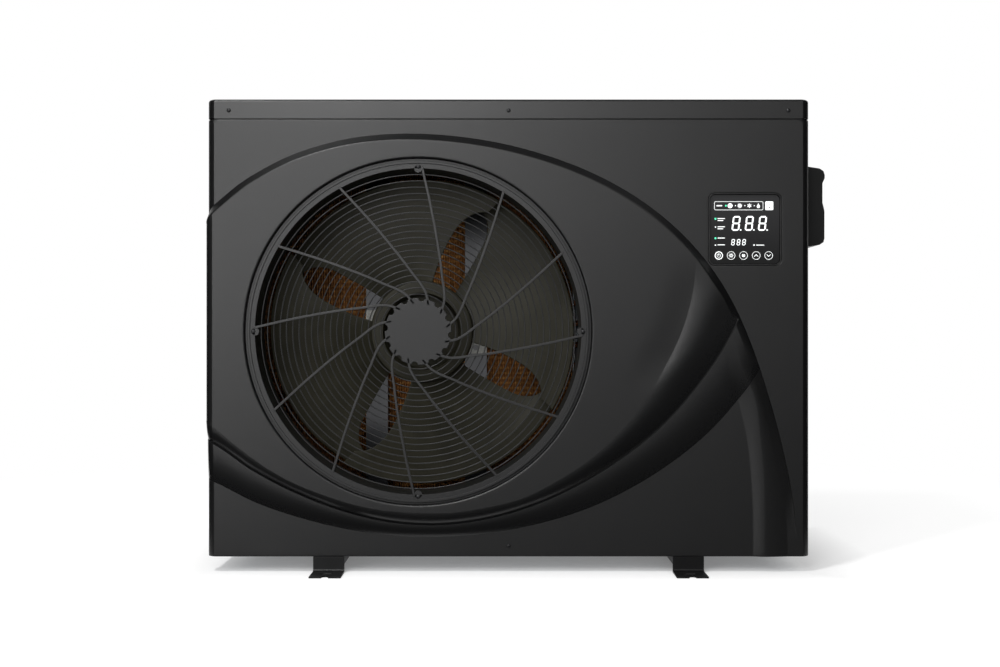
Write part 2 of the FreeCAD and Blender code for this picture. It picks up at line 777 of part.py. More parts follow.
def make_fan_nut():
    corners = []
    for i in range(6):
        angle = math.radians(60 * i)
        corners.append((fan_x + 10.0 * math.cos(angle), fan_z + 10.0 * math.sin(angle)))
    nut = plate_y(corners, hub_front - 14.0, hub_front - 5.0)
    return nut.cut(rod(shaft_radius + curve_gap, V(fan_x, hub_front - 30, fan_z), V(fan_x, hub_front, fan_z)))


def make_fan_motor():
    face = hub_front + 34.0
    back = rail_front - 3.0
    can = rod(motor_radius, V(fan_x, face + 6.0, fan_z), V(fan_x, back, fan_z))
    rims = [e for e in can.Edges if len(e.Vertexes) == 1 and e.Vertexes[0].Point.y < back - 1]
    can = can.makeFillet(8.0, rims)
    nose = rod(22.0, V(fan_x, face, fan_z), V(fan_x, face + 8.0, fan_z))
    reach = rail_offset + rail_width / 2
    plate = block(fan_x - reach, fan_x + reach, back, rail_front, fan_z - 36.0, fan_z + 36.0)
    bore = rod(shaft_radius + running_gap, V(fan_x, face - 5, fan_z), V(fan_x, rail_front - 19.0, fan_z))
    holes = []
    for x, z in motor_bolt_places():
        holes.append(rod(screw_radius + curve_gap, V(x, back - 5, z), V(x, rail_front + 5, z)))
    return less(joined([can, nose, plate]), [bore] + holes)


def motor_bolt_places():
    return [(fan_x + a * rail_offset, fan_z + b * 26.0) for a in (-1, 1) for b in (-1, 1)]


def make_motor_bolts():
    return Part.makeCompound([screw_y(x, z, rail_front - 3.0, 1, 12.0) for x, z in motor_bolt_places()])


def make_motor_bracket():
    pieces = []
    for side in (-1, 1):
        x = fan_x + side * rail_offset
        outer = block(x - rail_width / 2, x + rail_width / 2, rail_front, rail_back, floor_top, lid_inner)
        inner = block(x - rail_width / 2 + sheet, x + rail_width / 2 - sheet, rail_front + sheet,
                      rail_back + 1, floor_top - 1, lid_inner + 1)
        pieces.append(outer.cut(inner))
    reach = rail_offset + rail_width / 2
    for z0 in (floor_top, lid_inner - 20.0):
        pieces.append(block(fan_x - reach, fan_x + reach, rail_back, rail_back + sheet, z0, z0 + 20.0))
    holes = []
    for x, z in motor_bolt_places():
        holes.append(rod(screw_radius + curve_gap, V(x, rail_front - 5, z), V(x, rail_front + 5, z)))
    return less(joined(pieces), holes)


# ---------------------------------------------------------------- evaporator
coil_mid_y = coil_rear - coil_thickness / 2
coil_mid_x = coil_left + coil_thickness / 2
coil_low_z = floor_top + tube_first
coil_high_z = coil_low_z + (tube_count - 1) * tube_pitch
bend_mid = coil_corner - coil_thickness / 2


def coil_run(z, radius, ends):
    path = [V(coil_right + ends, coil_mid_y, z), V(coil_mid_x, coil_mid_y, z),
            V(coil_mid_x, coil_leg_front - ends, z)]
    return swept(bent_wire(path, bend_mid), radius)


def is_inner_corner(point):
    return abs(point.x - coil_left_inner) < 1 and abs(point.y - coil_front) < 1


def make_evaporator_fins():
    """Return the fin pack: an L-shaped block with its fin gaps cut in both faces."""
    w = coil_thickness
    outer = block(coil_left, coil_right, coil_leg_front, coil_rear, floor_top, floor_top + coil_height)
    inner = block(coil_left_inner, coil_right + 1, coil_leg_front - 1, coil_front, floor_top - 1,
                  floor_top + coil_height + 1)
    outer = round_upright(outer, coil_corner, lambda p: p.x < coil_left + 1 and p.y > coil_rear - 1)
    pack = outer.cut(inner)
    pack = round_upright(pack, coil_corner - w, is_inner_corner)
    tools = []
    z0, z1 = floor_top - 1, floor_top + coil_height + 1
    d = fin_groove_depth
    x = coil_right - fin_pitch
    while x > coil_left + coil_corner + 4:
        tools.append(block(x, x + fin_groove, coil_rear - d, coil_rear + 1, z0, z1))
        tools.append(block(x, x + fin_groove, coil_front - 1, coil_front + d, z0, z1))
        x -= fin_pitch
    y = coil_leg_front + fin_pitch
    while y < coil_rear - coil_corner - 8:
        tools.append(block(coil_left - 1, coil_left + d, y - fin_groove, y, z0, z1))
        tools.append(block(coil_left_inner - d, coil_left_inner + 1, y - fin_groove, y, z0, z1))
        y += fin_pitch
    for i in range(tube_count):
        tools.append(coil_run(coil_low_z + i * tube_pitch, tube_radius + curve_gap, 5.0))
    return less(pack, tools)


def half_bend(start, end, way):
    """Return a half-circle return bend from start to end that bulges along way."""
    r = (end - start).Length / 2
    middle = (start + end) * 0.5 + way * r
    wire = Part.Wire(Part.Arc(start, middle, end).toShape())
    ring = Part.Wire(Part.makeCircle(tube_radius, start, way))
    return wire.makePipeShell([ring], True, True)


def make_evaporator_tubes():
    right_end = coil_right + 4.0
    left_end = coil_leg_front - 4.0
    pieces = []
    for i in range(tube_count):
        z = coil_low_z + i * tube_pitch
        pieces.append(coil_run(z, tube_radius, 4.0))
        next_tube = V(0, 0, tube_pitch)
        if i + 1 < tube_count and i % 2 == 0:
            end = V(coil_mid_x, left_end, z)
            pieces.append(half_bend(end, end + next_tube, V(0, -1, 0)))
        elif i + 1 < tube_count:
            end = V(right_end, coil_mid_y, z)
            pieces.append(half_bend(end, end + next_tube, V(1, 0, 0)))
    return pieces[0].fuse(pieces[1:])


def make_tube_sheets():
    z1 = floor_top + coil_height
    right = block(coil_right, coil_right + sheet, coil_front - 4, coil_rear + 4, floor_top, z1 + 3)
    left = block(coil_left - 3, coil_left_inner + 4, coil_leg_front - sheet, coil_leg_front,
                 floor_top, z1 + 3)
    tools = [coil_run(coil_low_z + i * tube_pitch, tube_radius + curve_gap, 5.0) for i in range(tube_count)]
    return Part.makeCompound([less(right, tools), less(left, tools)])


# ---------------------------------------------------------------- machine bay
compressor_x = bay_left + 83.0
compressor_y = rear - 135.0
exchanger_x = side_inner - 84.0
exchanger_y = rear_inner - 93.0
accumulator_x = compressor_x + 15.0
accumulator_y = compressor_y - 107.0
compressor_z = floor_top + compressor_lift
exchanger_z = floor_top + exchanger_lift
compressor_top = compressor_z + compressor_height
exchanger_top = exchanger_z + exchanger_height
water_low_z = bottom + water_low
water_high_z = bottom + water_high
valve_x = compressor_x - 10.0
valve_y = compressor_y + 45.0
valve_z = compressor_top + 90.0


def stud_places():
    places = []
    for angle in (90, 210, 330):
        a = math.radians(angle)
        places.append((compressor_x + 78.0 * math.cos(a), compressor_y + 78.0 * math.sin(a)))
    return places


def make_compressor():
    can = dome_can(compressor_radius, compressor_x, compressor_y, compressor_z, compressor_top, 26.0)
    z0 = compressor_z - 6.0
    pieces = [can, Part.makeCylinder(45.0, 12.0, V(compressor_x, compressor_y, z0))]
    holes = []
    for x, y in stud_places():
        a = math.degrees(math.atan2(y - compressor_y, x - compressor_x))
        arm = block(0, 90.0, -15.0, 15.0, 0, 4.0)
        arm = round_upright(arm, 12.0, lambda p: p.x > 80)
        arm.rotate(V(0, 0, 0), V(0, 0, 1), a)
        arm.translate(V(compressor_x, compressor_y, z0))
        pieces.append(arm)
        holes.append(Part.makeCylinder(stud_radius + curve_gap, 30.0, V(x, y, z0 - 10)))
    outlet = V(compressor_x + 30.0, compressor_y, compressor_top - 10.0)
    pieces.append(rod(gas_pipe_radius + 3.0, outlet, outlet + V(0, 0, 14.0)))
    return less(joined(pieces), holes)


def make_compressor_grommets():
    pieces = []
    top_z = compressor_z - 6.0
    for x, y in stud_places():
        ring = Part.makeCylinder(grommet_radius, top_z - floor_top, V(x, y, floor_top))
        groove = Part.makeCylinder(grommet_radius + 1, 6.0, V(x, y, (top_z + floor_top) / 2 - 3))
        core = Part.makeCylinder(grommet_radius - 3, 60.0, V(x, y, floor_top - 5))
        ring = ring.cut(groove.cut(core))
        pieces.append(ring.cut(Part.makeCylinder(stud_radius + curve_gap, 60.0, V(x, y, floor_top - 5))))
    return Part.makeCompound(pieces)


def make_compressor_studs():
    pieces = []
    for x, y in stud_places():
        stem = rod(stud_radius, V(x, y, bottom), V(x, y, compressor_z + 12.0))
        nut = rod(stud_radius + 4.0, V(x, y, compressor_z - 2.0), V(x, y, compressor_z + 5.0))
        pieces.append(joined([stem, nut]))
    return Part.makeCompound(pieces)


cap_x = compressor_x - 22.0
cap_y = compressor_y - 12.0


def make_compressor_cap():
    low = compressor_top - 4.0
    cap = Part.makeCylinder(20.0, 22.0, V(cap_x, cap_y, low))
    rims = [e for e in cap.Edges if len(e.Vertexes) == 1 and e.Vertexes[0].Point.z > low + 1]
    cap = cap.makeFillet(4.0, rims)
    can = dome_can(compressor_radius, compressor_x, compressor_y, compressor_z, compressor_top, 26.0)
    return cap.cut(can)


def make_accumulator():
    z0 = bottom + 71.0
    return dome_can(accumulator_radius, accumulator_x, accumulator_y, z0, z0 + accumulator_height, 14.0)


def make_accumulator_strap():
    """Return the band that ties the accumulator to the compressor's can."""
    z0 = bottom + 160.0
    a = V(compressor_x, compressor_y, z0)
    b = V(accumulator_x, accumulator_y, z0)
    big = Part.makeCylinder(compressor_radius + curve_gap + 2.0, 14.0, a)
    small = Part.makeCylinder(accumulator_radius + curve_gap + 2.0, 14.0, b)
    run = b - a
    bar = block(0, run.Length, -9.0, 9.0, 0, 14.0)
    bar.rotate(V(0, 0, 0), V(0, 0, 1), math.degrees(math.atan2(run.y, run.x)))
    bar.translate(a)
    body = joined([big, small, bar])
    holes = [Part.makeCylinder(compressor_radius + curve_gap, 30.0, a - V(0, 0, 8)),
             Part.makeCylinder(accumulator_radius + curve_gap, 30.0, b - V(0, 0, 8))]
    return less(body, holes)


def make_exchanger_shell():
    x, y = exchanger_x, exchanger_y
    outer = Part.makeCylinder(exchanger_radius - 4.0, exchanger_height, V(x, y, exchanger_z))
    low_cap = Part.makeCylinder(exchanger_radius, 30.0, V(x, y, exchanger_z))
    high_cap = Part.makeCylinder(exchanger_radius, 30.0, V(x, y, exchanger_top - 30.0))
    body = joined([outer, low_cap, high_cap])
    w = exchanger_wall
    hollow = Part.makeCylinder(exchanger_radius - 4.0 - w, exchanger_height - 2 * w, V(x, y, exchanger_z + w))
    tools = [hollow]
    for z in (water_low_z, water_high_z):
        tools.append(rod(water_pipe_radius + curve_gap, V(x, y, z), V(x, rear, z)))
    for side in (-1, 1):
        tools.append(Part.makeCylinder(coil_tube_radius + curve_gap, 30.0,
                                       V(x + side * ring_centre_radius, y, exchanger_top - 15.0)))
    tools.append(Part.makeCylinder(switch_radius + curve_gap, 30.0, V(x, y, exchanger_top - 15.0)))
    return less(body, tools)


ring_centre_radius = 40.0
switch_radius = 12.0
coil_rings = 12


def make_exchanger_coil():
    """Return the titanium coil as a stack of rings between two headers."""
    x, y = exchanger_x, exchanger_y
    z0 = exchanger_z + 40.0
    pitch = (exchanger_height - 110.0) / (coil_rings - 1)
    pieces = []
    for i in range(coil_rings):
        pieces.append(Part.makeTorus(ring_centre_radius, coil_tube_radius - 1.5, V(x, y, z0 + i * pitch)))
    for side in (-1, 1):
        foot = V(x + side * ring_centre_radius, y, z0 - 15.0)
        pieces.append(rod(coil_tube_radius, foot, V(foot.x, y, exchanger_top + 12.0)))
    return pieces[0].fuse(pieces[1:])


def make_exchanger_stand():
    x, y = exchanger_x, exchanger_y
    ring = tube(60.0, 57.0, V(x, y, floor_top), V(x, y, exchanger_z))
    foot = tube(66.0, 57.0, V(x, y, floor_top), V(x, y, floor_top + 2.0))
    return joined([ring, foot])


def make_water_pipe(z):
    inner = water_pipe_radius - water_pipe_wall
    y0 = exchanger_y + 64.0
    body = rod(water_pipe_radius, V(exchanger_x, y0, z), V(exchanger_x, rear + 26.0, z))
    collar = rod(union_thread_radius, V(exchanger_x, rear + 8.0, z), V(exchanger_x, rear + 26.0, z))
    bore = rod(inner, V(exchanger_x, y0 - 5, z), V(exchanger_x, rear + 40.0, z))
    return joined([body, collar]).cut(bore)


def make_union_tail(z):
    face = rear + 26.0
    outer = socket_radius + socket_wall
    end = face + 6.0 + socket_length
    flange = rod(union_thread_radius - 1.0, V(exchanger_x, face, z), V(exchanger_x, face + 5.0, z))
    body = rod(outer, V(exchanger_x, face, z), V(exchanger_x, end, z))
    rim = rod(outer + 2.0, V(exchanger_x, end - 6.0, z), V(exchanger_x, end, z))
    stop = rod(water_pipe_radius - water_pipe_wall, V(exchanger_x, face - 5, z), V(exchanger_x, face + 9, z))
    bore = rod(socket_radius, V(exchanger_x, face + 6.0, z), V(exchanger_x, end + 5, z))
    return less(joined([flange, body, rim]), [stop, bore])


def make_union_nut(z):
    y0 = rear + 5.0
    y1 = y0 + union_nut_length
    lip = rear + 26.0 + 5.0 + curve_gap
    body = rod(union_nut_radius - 3.0, V(exchanger_x, y0, z), V(exchanger_x, y1, z))
    inner = rod(union_thread_radius + curve_gap, V(exchanger_x, y0 - 5, z), V(exchanger_x, lip, z))
    neck = rod(socket_radius + socket_wall + curve_gap, V(exchanger_x, y0, z), V(exchanger_x, y1 + 5, z))
    pieces = [body]
    rim = exchanger_x + union_nut_radius
    for i in range(union_nut_ribs):
        rib = block(rim - 6.0, rim, y0 + 2, y1 - 3, z - 2.5, z + 2.5)
        rib.rotate(V(exchanger_x, 0, z), V(0, 1, 0), i * 360.0 / union_nut_ribs)
        pieces.append(rib)
    return less(joined(pieces), [inner, neck])


def both_heights(make):
    return Part.makeCompound([make(z) for z in (water_low_z, water_high_z)])


def make_flow_switch():
    z0 = exchanger_top - 15.0
    stem = rod(switch_radius, V(exchanger_x, exchanger_y, z0),
               V(exchanger_x, exchanger_y, exchanger_top + 8.0))
    head = rod(switch_radius + 5.0, V(exchanger_x, exchanger_y, exchanger_top),
               V(exchanger_x, exchanger_y, exchanger_top + 26.0))
    return joined([stem, head])


def make_reversing_valve():
    body = rod(15.0, V(valve_x - 55.0, valve_y, valve_z), V(valve_x + 55.0, valve_y, valve_z))
    rims = [e for e in body.Edges if len(e.Vertexes) == 1]
    body = body.makeFillet(5.0, rims)
    stub = rod(gas_pipe_radius + 1.5, V(valve_x, valve_y, valve_z), V(valve_x, valve_y, valve_z + 28.0))
    pieces = [body, stub]
    for dx in (-30.0, 0.0, 30.0):
        pieces.append(rod(suction_pipe_radius + 1.2, V(valve_x + dx, valve_y, valve_z - 26.0),
                          V(valve_x + dx, valve_y, valve_z)))
    pilot = rod(7.0, V(valve_x - 20.0, valve_y + 16.0, valve_z), V(valve_x + 22.0, valve_y + 16.0, valve_z))
    return joined(pieces + [pilot])


def make_valve_coil():
    shape = block(valve_x + 22.0 + curve_gap, valve_x + 50.0, valve_y + 15.5, valve_y + 37.0,
                  valve_z - 14, valve_z + 14)
    edges = [e for e in shape.Edges if abs(e.tangentAt(e.FirstParameter).x) > 0.99]
    return shape.makeFillet(5.0, edges)


drier_x = bay_left + 23.5
drier_y = compressor_y - 105.0
eev_z0 = compressor_top - 4.0
eev_z1 = eev_z0 + 32.0
drier_z1 = eev_z0 - 38.0
drier_z0 = drier_z1 - drier_length


def make_filter_drier():
    body = dome_can(18.0, drier_x, drier_y, drier_z0, drier_z1, 8.0)
    stem = rod(liquid_pipe_radius + 1.5, V(drier_x, drier_y, drier_z1 - 3), V(drier_x, drier_y, drier_z1 + 8))
    low = rod(liquid_pipe_radius + 1.5, V(drier_x, drier_y, drier_z0 - 8), V(drier_x, drier_y, drier_z0 + 3))
    return joined([body, stem, low])


def make_expansion_valve():
    body = rod(10.0, V(drier_x, drier_y, eev_z0), V(drier_x, drier_y, eev_z1))
    motor = rod(17.0, V(drier_x, drier_y, eev_z1 - 2.0), V(drier_x, drier_y, eev_z1 + 20.0))
    inlet = rod(liquid_pipe_radius + 1.5, V(drier_x, drier_y, eev_z0 + 15),
                V(drier_x, drier_y + 18, eev_z0 + 15))
    return joined([body, motor, inlet])


def make_pipes():
    """Return the refrigerant lines by node name."""
    lines = {}
    out = V(compressor_x + 30.0, compressor_y, compressor_top + 4.0)
    over = valve_z + 60.0
    lines["discharge_line"] = bent_pipe(
        [out, V(out.x, out.y, over), V(valve_x, valve_y, over), V(valve_x, valve_y, valve_z + 28.0)],
        gas_pipe_radius)
    low = valve_z - 26.0
    cross = compressor_top + 36.0
    acc_top = bottom + 71.0 + accumulator_height
    suction = bent_pipe(
        [V(valve_x, valve_y, low), V(valve_x, valve_y, cross), V(accumulator_x, accumulator_y, cross),
         V(accumulator_x, accumulator_y, acc_top)], suction_pipe_radius)
    side = V(accumulator_x, compressor_y - compressor_radius - 1.5, compressor_z + 18.0)
    inlet = bent_pipe(
        [V(accumulator_x, accumulator_y, bottom + 71.0), V(accumulator_x, accumulator_y, side.z),
         V(side.x, side.y + 4.0, side.z)], suction_pipe_radius, 10.0)
    can = rod(compressor_radius + curve_gap, V(compressor_x, compressor_y, compressor_z),
              V(compressor_x, compressor_y, compressor_top))
    lines["suction_lines"] = Part.makeCompound([suction, inlet.cut(can)])
    x = bay_left + 17.0
    evaporator_gas = bent_pipe(
        [V(valve_x - 30.0, valve_y, low), V(valve_x - 30.0, valve_y, cross + 2.0),
         V(x, coil_mid_y, cross + 2.0), V(x, coil_mid_y, coil_high_z),
         V(coil_right + 4.0 + curve_gap, coil_mid_y, coil_high_z)], gas_pipe_radius, 9.0)
    liquid = bent_pipe(
        [V(coil_right + 4.0 + curve_gap, coil_mid_y, coil_low_z), V(drier_x, coil_mid_y, coil_low_z),
         V(drier_x, coil_mid_y, eev_z0 + 15.0), V(drier_x, drier_y + 18.0, eev_z0 + 15.0)],
        liquid_pipe_radius, 10.0)
    drier = rod(liquid_pipe_radius, V(drier_x, drier_y, drier_z1 + 8.0), V(drier_x, drier_y, eev_z0)).cut(
        rod(liquid_pipe_radius - pipe_wall, V(drier_x, drier_y, drier_z1 + 8.0), V(drier_x, drier_y, eev_z0)))
    low_z = drier_z0 - 34.0
    over_z = exchanger_top + 40.0
    under_z = box_bottom - 18.0
    coil_left_pipe = exchanger_x - ring_centre_radius
    riser_x = exchanger_x - 52.0
    near_y = front + 60.0
    mid_y = exchanger_y - 85.0
    exchanger_liquid = bent_pipe(
        [V(drier_x, drier_y, drier_z0 - 8.0), V(drier_x, drier_y, low_z), V(drier_x, near_y, low_z),
         V(riser_x, near_y, low_z), V(riser_x, near_y, under_z), V(riser_x, mid_y, under_z),
         V(riser_x, mid_y, over_z), V(coil_left_pipe, exchanger_y, over_z),
         V(coil_left_pipe, exchanger_y, exchanger_top + 12.0)], liquid_pipe_radius, 12.0)
    lines["liquid_lines"] = Part.makeCompound([liquid, drier, exchanger_liquid])
    gx, gy = valve_x + 57.0, compressor_y + 15.0
    gz = exchanger_top + 62.0
    exchanger_gas = bent_pipe(
        [V(valve_x + 30.0, valve_y, low), V(valve_x + 30.0, valve_y, cross + 2.0), V(gx, gy, cross + 2.0),
         V(gx, gy, gz), V(exchanger_x + ring_centre_radius, exchanger_y, gz),
         V(exchanger_x + ring_centre_radius, exchanger_y, exchanger_top + 12.0)], gas_pipe_radius, 10.0)
    lines["gas_lines"] = Part.makeCompound([evaporator_gas, exchanger_gas])
    return lines


def make_pressure_switch():
    z = valve_z + 25.0
    x1 = compressor_x + 30.0 - gas_pipe_radius - curve_gap
    body = rod(9.0, V(x1 - 24.0, compressor_y, z), V(x1 - 6.0, compressor_y, z))
    nose = rod(3.5, V(x1 - 8.0, compressor_y, z), V(x1, compressor_y, z))
    return joined([body, nose])


# ---------------------------------------------------------------- electrics
box_top = lid_inner - 20.0
box_bottom = box_top - box_height
box_front = front + 42.0
box_back = box_front + box_depth
box_right = side_inner - 8.0


def make_electrical_box():
    outer = block(bay_left, box_right, box_front, box_back, box_bottom, box_top)
    inner = block(bay_left + sheet, box_right - sheet, box_front - 1, box_back - sheet,
                  box_bottom + sheet, box_top - sheet)
    return outer.cut(inner)


def make_inverter_board():
    y1 = box_back - sheet - 6.0
    x0, x1 = bay_left + 20.0, box_right - 30.0
    z0, z1 = box_bottom + 20.0, box_top - 20.0
    pieces = [block(x0, x1, y1 - board_thickness, y1, z0, z1)]
    for x in (x0 + 8.0, x1 - 8.0):
        for z in (z0 + 8.0, z1 - 8.0):
            pieces.append(rod(3.0, V(x, y1, z), V(x, box_back - sheet, z)))
    face = y1 - board_thickness
    pieces.append(block(x0 + 20, x0 + 70, face - 12, face, z1 - 60, z1 - 20))
    pieces.append(block(x0 + 90, x0 + 120, face - 18, face, z1 - 50, z1 - 20))
    pieces.append(block(x0 + 140, x0 + 190, face - 8, face, z1 - 80, z1 - 30))
    pieces.append(block(x1 - 50, x1 - 20, face - 22, face, z0 + 20, z0 + 60))
    return joined(pieces)


def make_capacitors():
    y1 = box_back - sheet - 6.0 - board_thickness
    z = box_bottom + 75.0
    cans = []
    for i in range(3):
        x = bay_left + 60.0 + i * 44.0
        can = rod(17.0, V(x, y1 - 42.0, z), V(x, y1, z))
        rims = [e for e in can.Edges if len(e.Vertexes) == 1 and e.Vertexes[0].Point.y < y1 - 1]
        cans.append(can.makeFillet(2.0, rims))
    return Part.makeCompound(cans)


def make_reactor():
    x0 = box_right - 90.0
    z0 = box_bottom + sheet
    y0 = box_front + 12.0
    core = block(x0, x0 + 56.0, y0, y0 + 42.0, z0, z0 + 46.0)
    coil = block(x0 + 13.0, x0 + 43.0, y0 - 6.0, y0 + 48.0, z0 + 10.0, z0 + 36.0)
    return joined([core, coil])


def make_heat_sink():
    x0 = bay_left + 12.0
    z0, z1 = box_bottom + 100.0, box_top - 40.0
    pieces = [block(x0, x0 + 110.0, box_back, box_back + 6.0, z0, z1)]
    for i in range(12):
        x = x0 + i * (110.0 - 2.0) / 11
        pieces.append(block(x, x + 2.0, box_back + 5.0, box_back + 32.0, z0, z1))
    return joined(pieces)


def display_frame():
    x1 = half_width - display_right
    return x1 - display_width, x1, bottom + display_bottom, bottom + display_bottom + display_height


def rounded_plate(x0, x1, z0, z1, y0, y1, radius):
    plate = block(x0, x1, y0, y1, z0, z1)
    edges = [e for e in plate.Edges if abs(e.tangentAt(e.FirstParameter).y) > 0.99]
    return plate.makeFillet(radius, edges)


def make_display_bezel():
    x0, x1, z0, z1 = display_frame()
    g = curve_gap
    w = bezel_wall
    body = rounded_plate(x0 + g, x1 - g, z0 + g, z1 - g, front, front + bezel_depth, display_corner - g)
    flange = rounded_plate(x0 - 5, x1 + 5, z0 - 5, z1 + 5, panel_back, panel_back + 2.0, display_corner + 5)
    tunnel = rounded_plate(x0 + w, x1 - w, z0 + w, z1 - w, front - 5, front + bezel_depth + 5,
                           display_corner - w)
    ledge_y = front + display_recess + glass_thickness
    ledge = rounded_plate(x0 + g, x1 - g, z0 + g, z1 - g, ledge_y, ledge_y + 2.0, display_corner - g)
    ledge = ledge.cut(rounded_plate(x0 + w + 5, x1 - w - 5, z0 + w + 5, z1 - w - 5, ledge_y - 5, ledge_y + 9,
                                    display_corner - w))
    return joined([joined([body, flange]).cut(tunnel), ledge])


def make_display_window():
    x0, x1, z0, z1 = display_frame()
    w = bezel_wall + curve_gap
    y0 = front + display_recess
    return rounded_plate(x0 + w, x1 - w, z0 + w, z1 - w, y0, y0 + glass_thickness, display_corner - w)


def make_display_board():
    x0, x1, z0, z1 = display_frame()
    w = bezel_wall + curve_gap
    y0 = front + display_recess + glass_thickness + 2.0
    board = block(x0 + w + 4, x1 - w - 4, y0, y0 + board_thickness, z0 + w + 4, z1 - w - 4)
    plug = block(x0 + 30, x0 + 50, y0 + board_thickness, y0 + board_thickness + 8, z0 + 20, z0 + 28)
    keep = block(x0 + w, x1 - w, y0, y0 + board_thickness, z0 + w + 20, z1 - w - 20)
    return joined([board, plug, keep])


def make_terminal_cover():
    """Return the side cover with a long finger groove and tapered ends."""
    y0 = front + cover_front
    y1 = y0 + cover_length
    z0 = bottom + cover_bottom
    h = cover_height
    reach = cover_reach
    rows = [(0, 0), (reach - 8, 5), (reach - 2, 9), (reach, 15), (reach, h - 71), (reach - 3.5, h - 58),
            (reach - 3.5, h - 28), (reach, h - 20), (reach, h - 15), (reach - 2, h - 9),
            (reach - 8, h - 5), (0, h)]
    corners = [V(side_outer + a, y0, z0 + b) for a, b in rows]
    body = Part.Face(Part.makePolygon(corners + corners[:1])).extrude(V(0, cover_length, 0))
    w = cover_wall
    hollow = block(side_outer - 1, side_outer + reach - 4.0 - w, y0 + w, y1 - w,
                   z0 + 6.0 + w, z0 + h - 6.0 - w)
    ends = []
    for edge in body.Edges:
        points = [v.Point for v in edge.Vertexes]
        flat = all(abs(p.y - y0) < 0.01 for p in points) or all(abs(p.y - y1) < 0.01 for p in points)
        outer_edge = all(p.x > side_outer + reach - 0.5 for p in points)
        if flat and outer_edge and len(points) == 2 and abs(points[0].z - points[1].z) > 30:
            ends.append(edge)
    body = body.makeChamfer(2.0, ends)
    tools = [hollow]
    for y, z in gland_places():
        tools.append(rod(gland_bore + 1.5 + curve_gap, V(side_outer + 20, y1 - 9, z),
                         V(side_outer + 20, y1 + 5, z)))
    return less(body, tools)


def gland_places():
    y1 = front + cover_front + cover_length
    z0 = bottom + cover_bottom
    return [(y1, z0 + 38.0), (y1, z0 + 78.0)]


def make_cable_glands():
    pieces = []
    x = side_outer + 20.0
    for y, z in gland_places():
        neck = rod(gland_bore + 1.5, V(x, y - cover_wall - 4, z), V(x, y + 2, z))
        body = rod(gland_radius, V(x, y, z), V(x, y + gland_length, z))
        lock = rod(gland_radius - 1.0, V(x, y - cover_wall - 5, z), V(x, y - cover_wall, z))
        bore = rod(gland_bore, V(x, y - 30, z), V(x, y + gland_length + 9, z))
        edges = [e for e in body.Edges if len(e.Vertexes) == 1 and e.Vertexes[0].Point.y > y + 1]
        body = body.makeFillet(3.0, edges)
        pieces.append(joined([neck, body, lock]).cut(bore))
    return Part.makeCompound(pieces)


def make_terminal_block():
    y0 = front + cover_front + 30.0
    z0 = bottom + cover_bottom + 48.0
    body = block(side_outer, side_outer + 20.0, y0, y0 + 110.0, z0, z0 + 34.0)
    tools = []
    for i in range(6):
        y = y0 + 10.0 + i * 18.0
        tools.append(rod(3.5, V(side_outer + 14, y, z0 + 10), V(side_outer + 25, y, z0 + 10)))
        tools.append(rod(3.5, V(side_outer + 14, y, z0 + 24), V(side_outer + 25, y, z0 + 24)))
    return less(body, tools)


# ---------------------------------------------------------------- fasteners
def make_lid_screws():
    pieces = [screw_y(x, lid_screw_z, front, 1, 12.0) for x in lid_screw_x]
    pieces += [screw_y(x, lid_screw_z, rear + sheet, -1, 8.0) for x in rear_screw_x]
    pieces += side_screws(lid_screw_z, half_width)
    return Part.makeCompound(pieces)


def side_screws(z, face):
    screws = []
    for side in (-1, 1):
        for y in side_screw_y:
            head = rod(screw_head_radius, V(side * face, y, z), V(side * (face + screw_head_height), y, z))
            shank = rod(screw_radius, V(side * face, y, z), V(side * (face - 6.0), y, z))
            screws.append(joined([head, shank]))
    return screws


def make_casing_screws():
    pieces = [screw_y(0.0, foot_screw_z, front, 1, 10.0)]
    pieces += [screw_y(x, foot_side_z, rear, -1, 8.0) for x in rear_screw_x]
    pieces += side_screws(foot_side_z, side_outer)
    return Part.makeCompound(pieces)


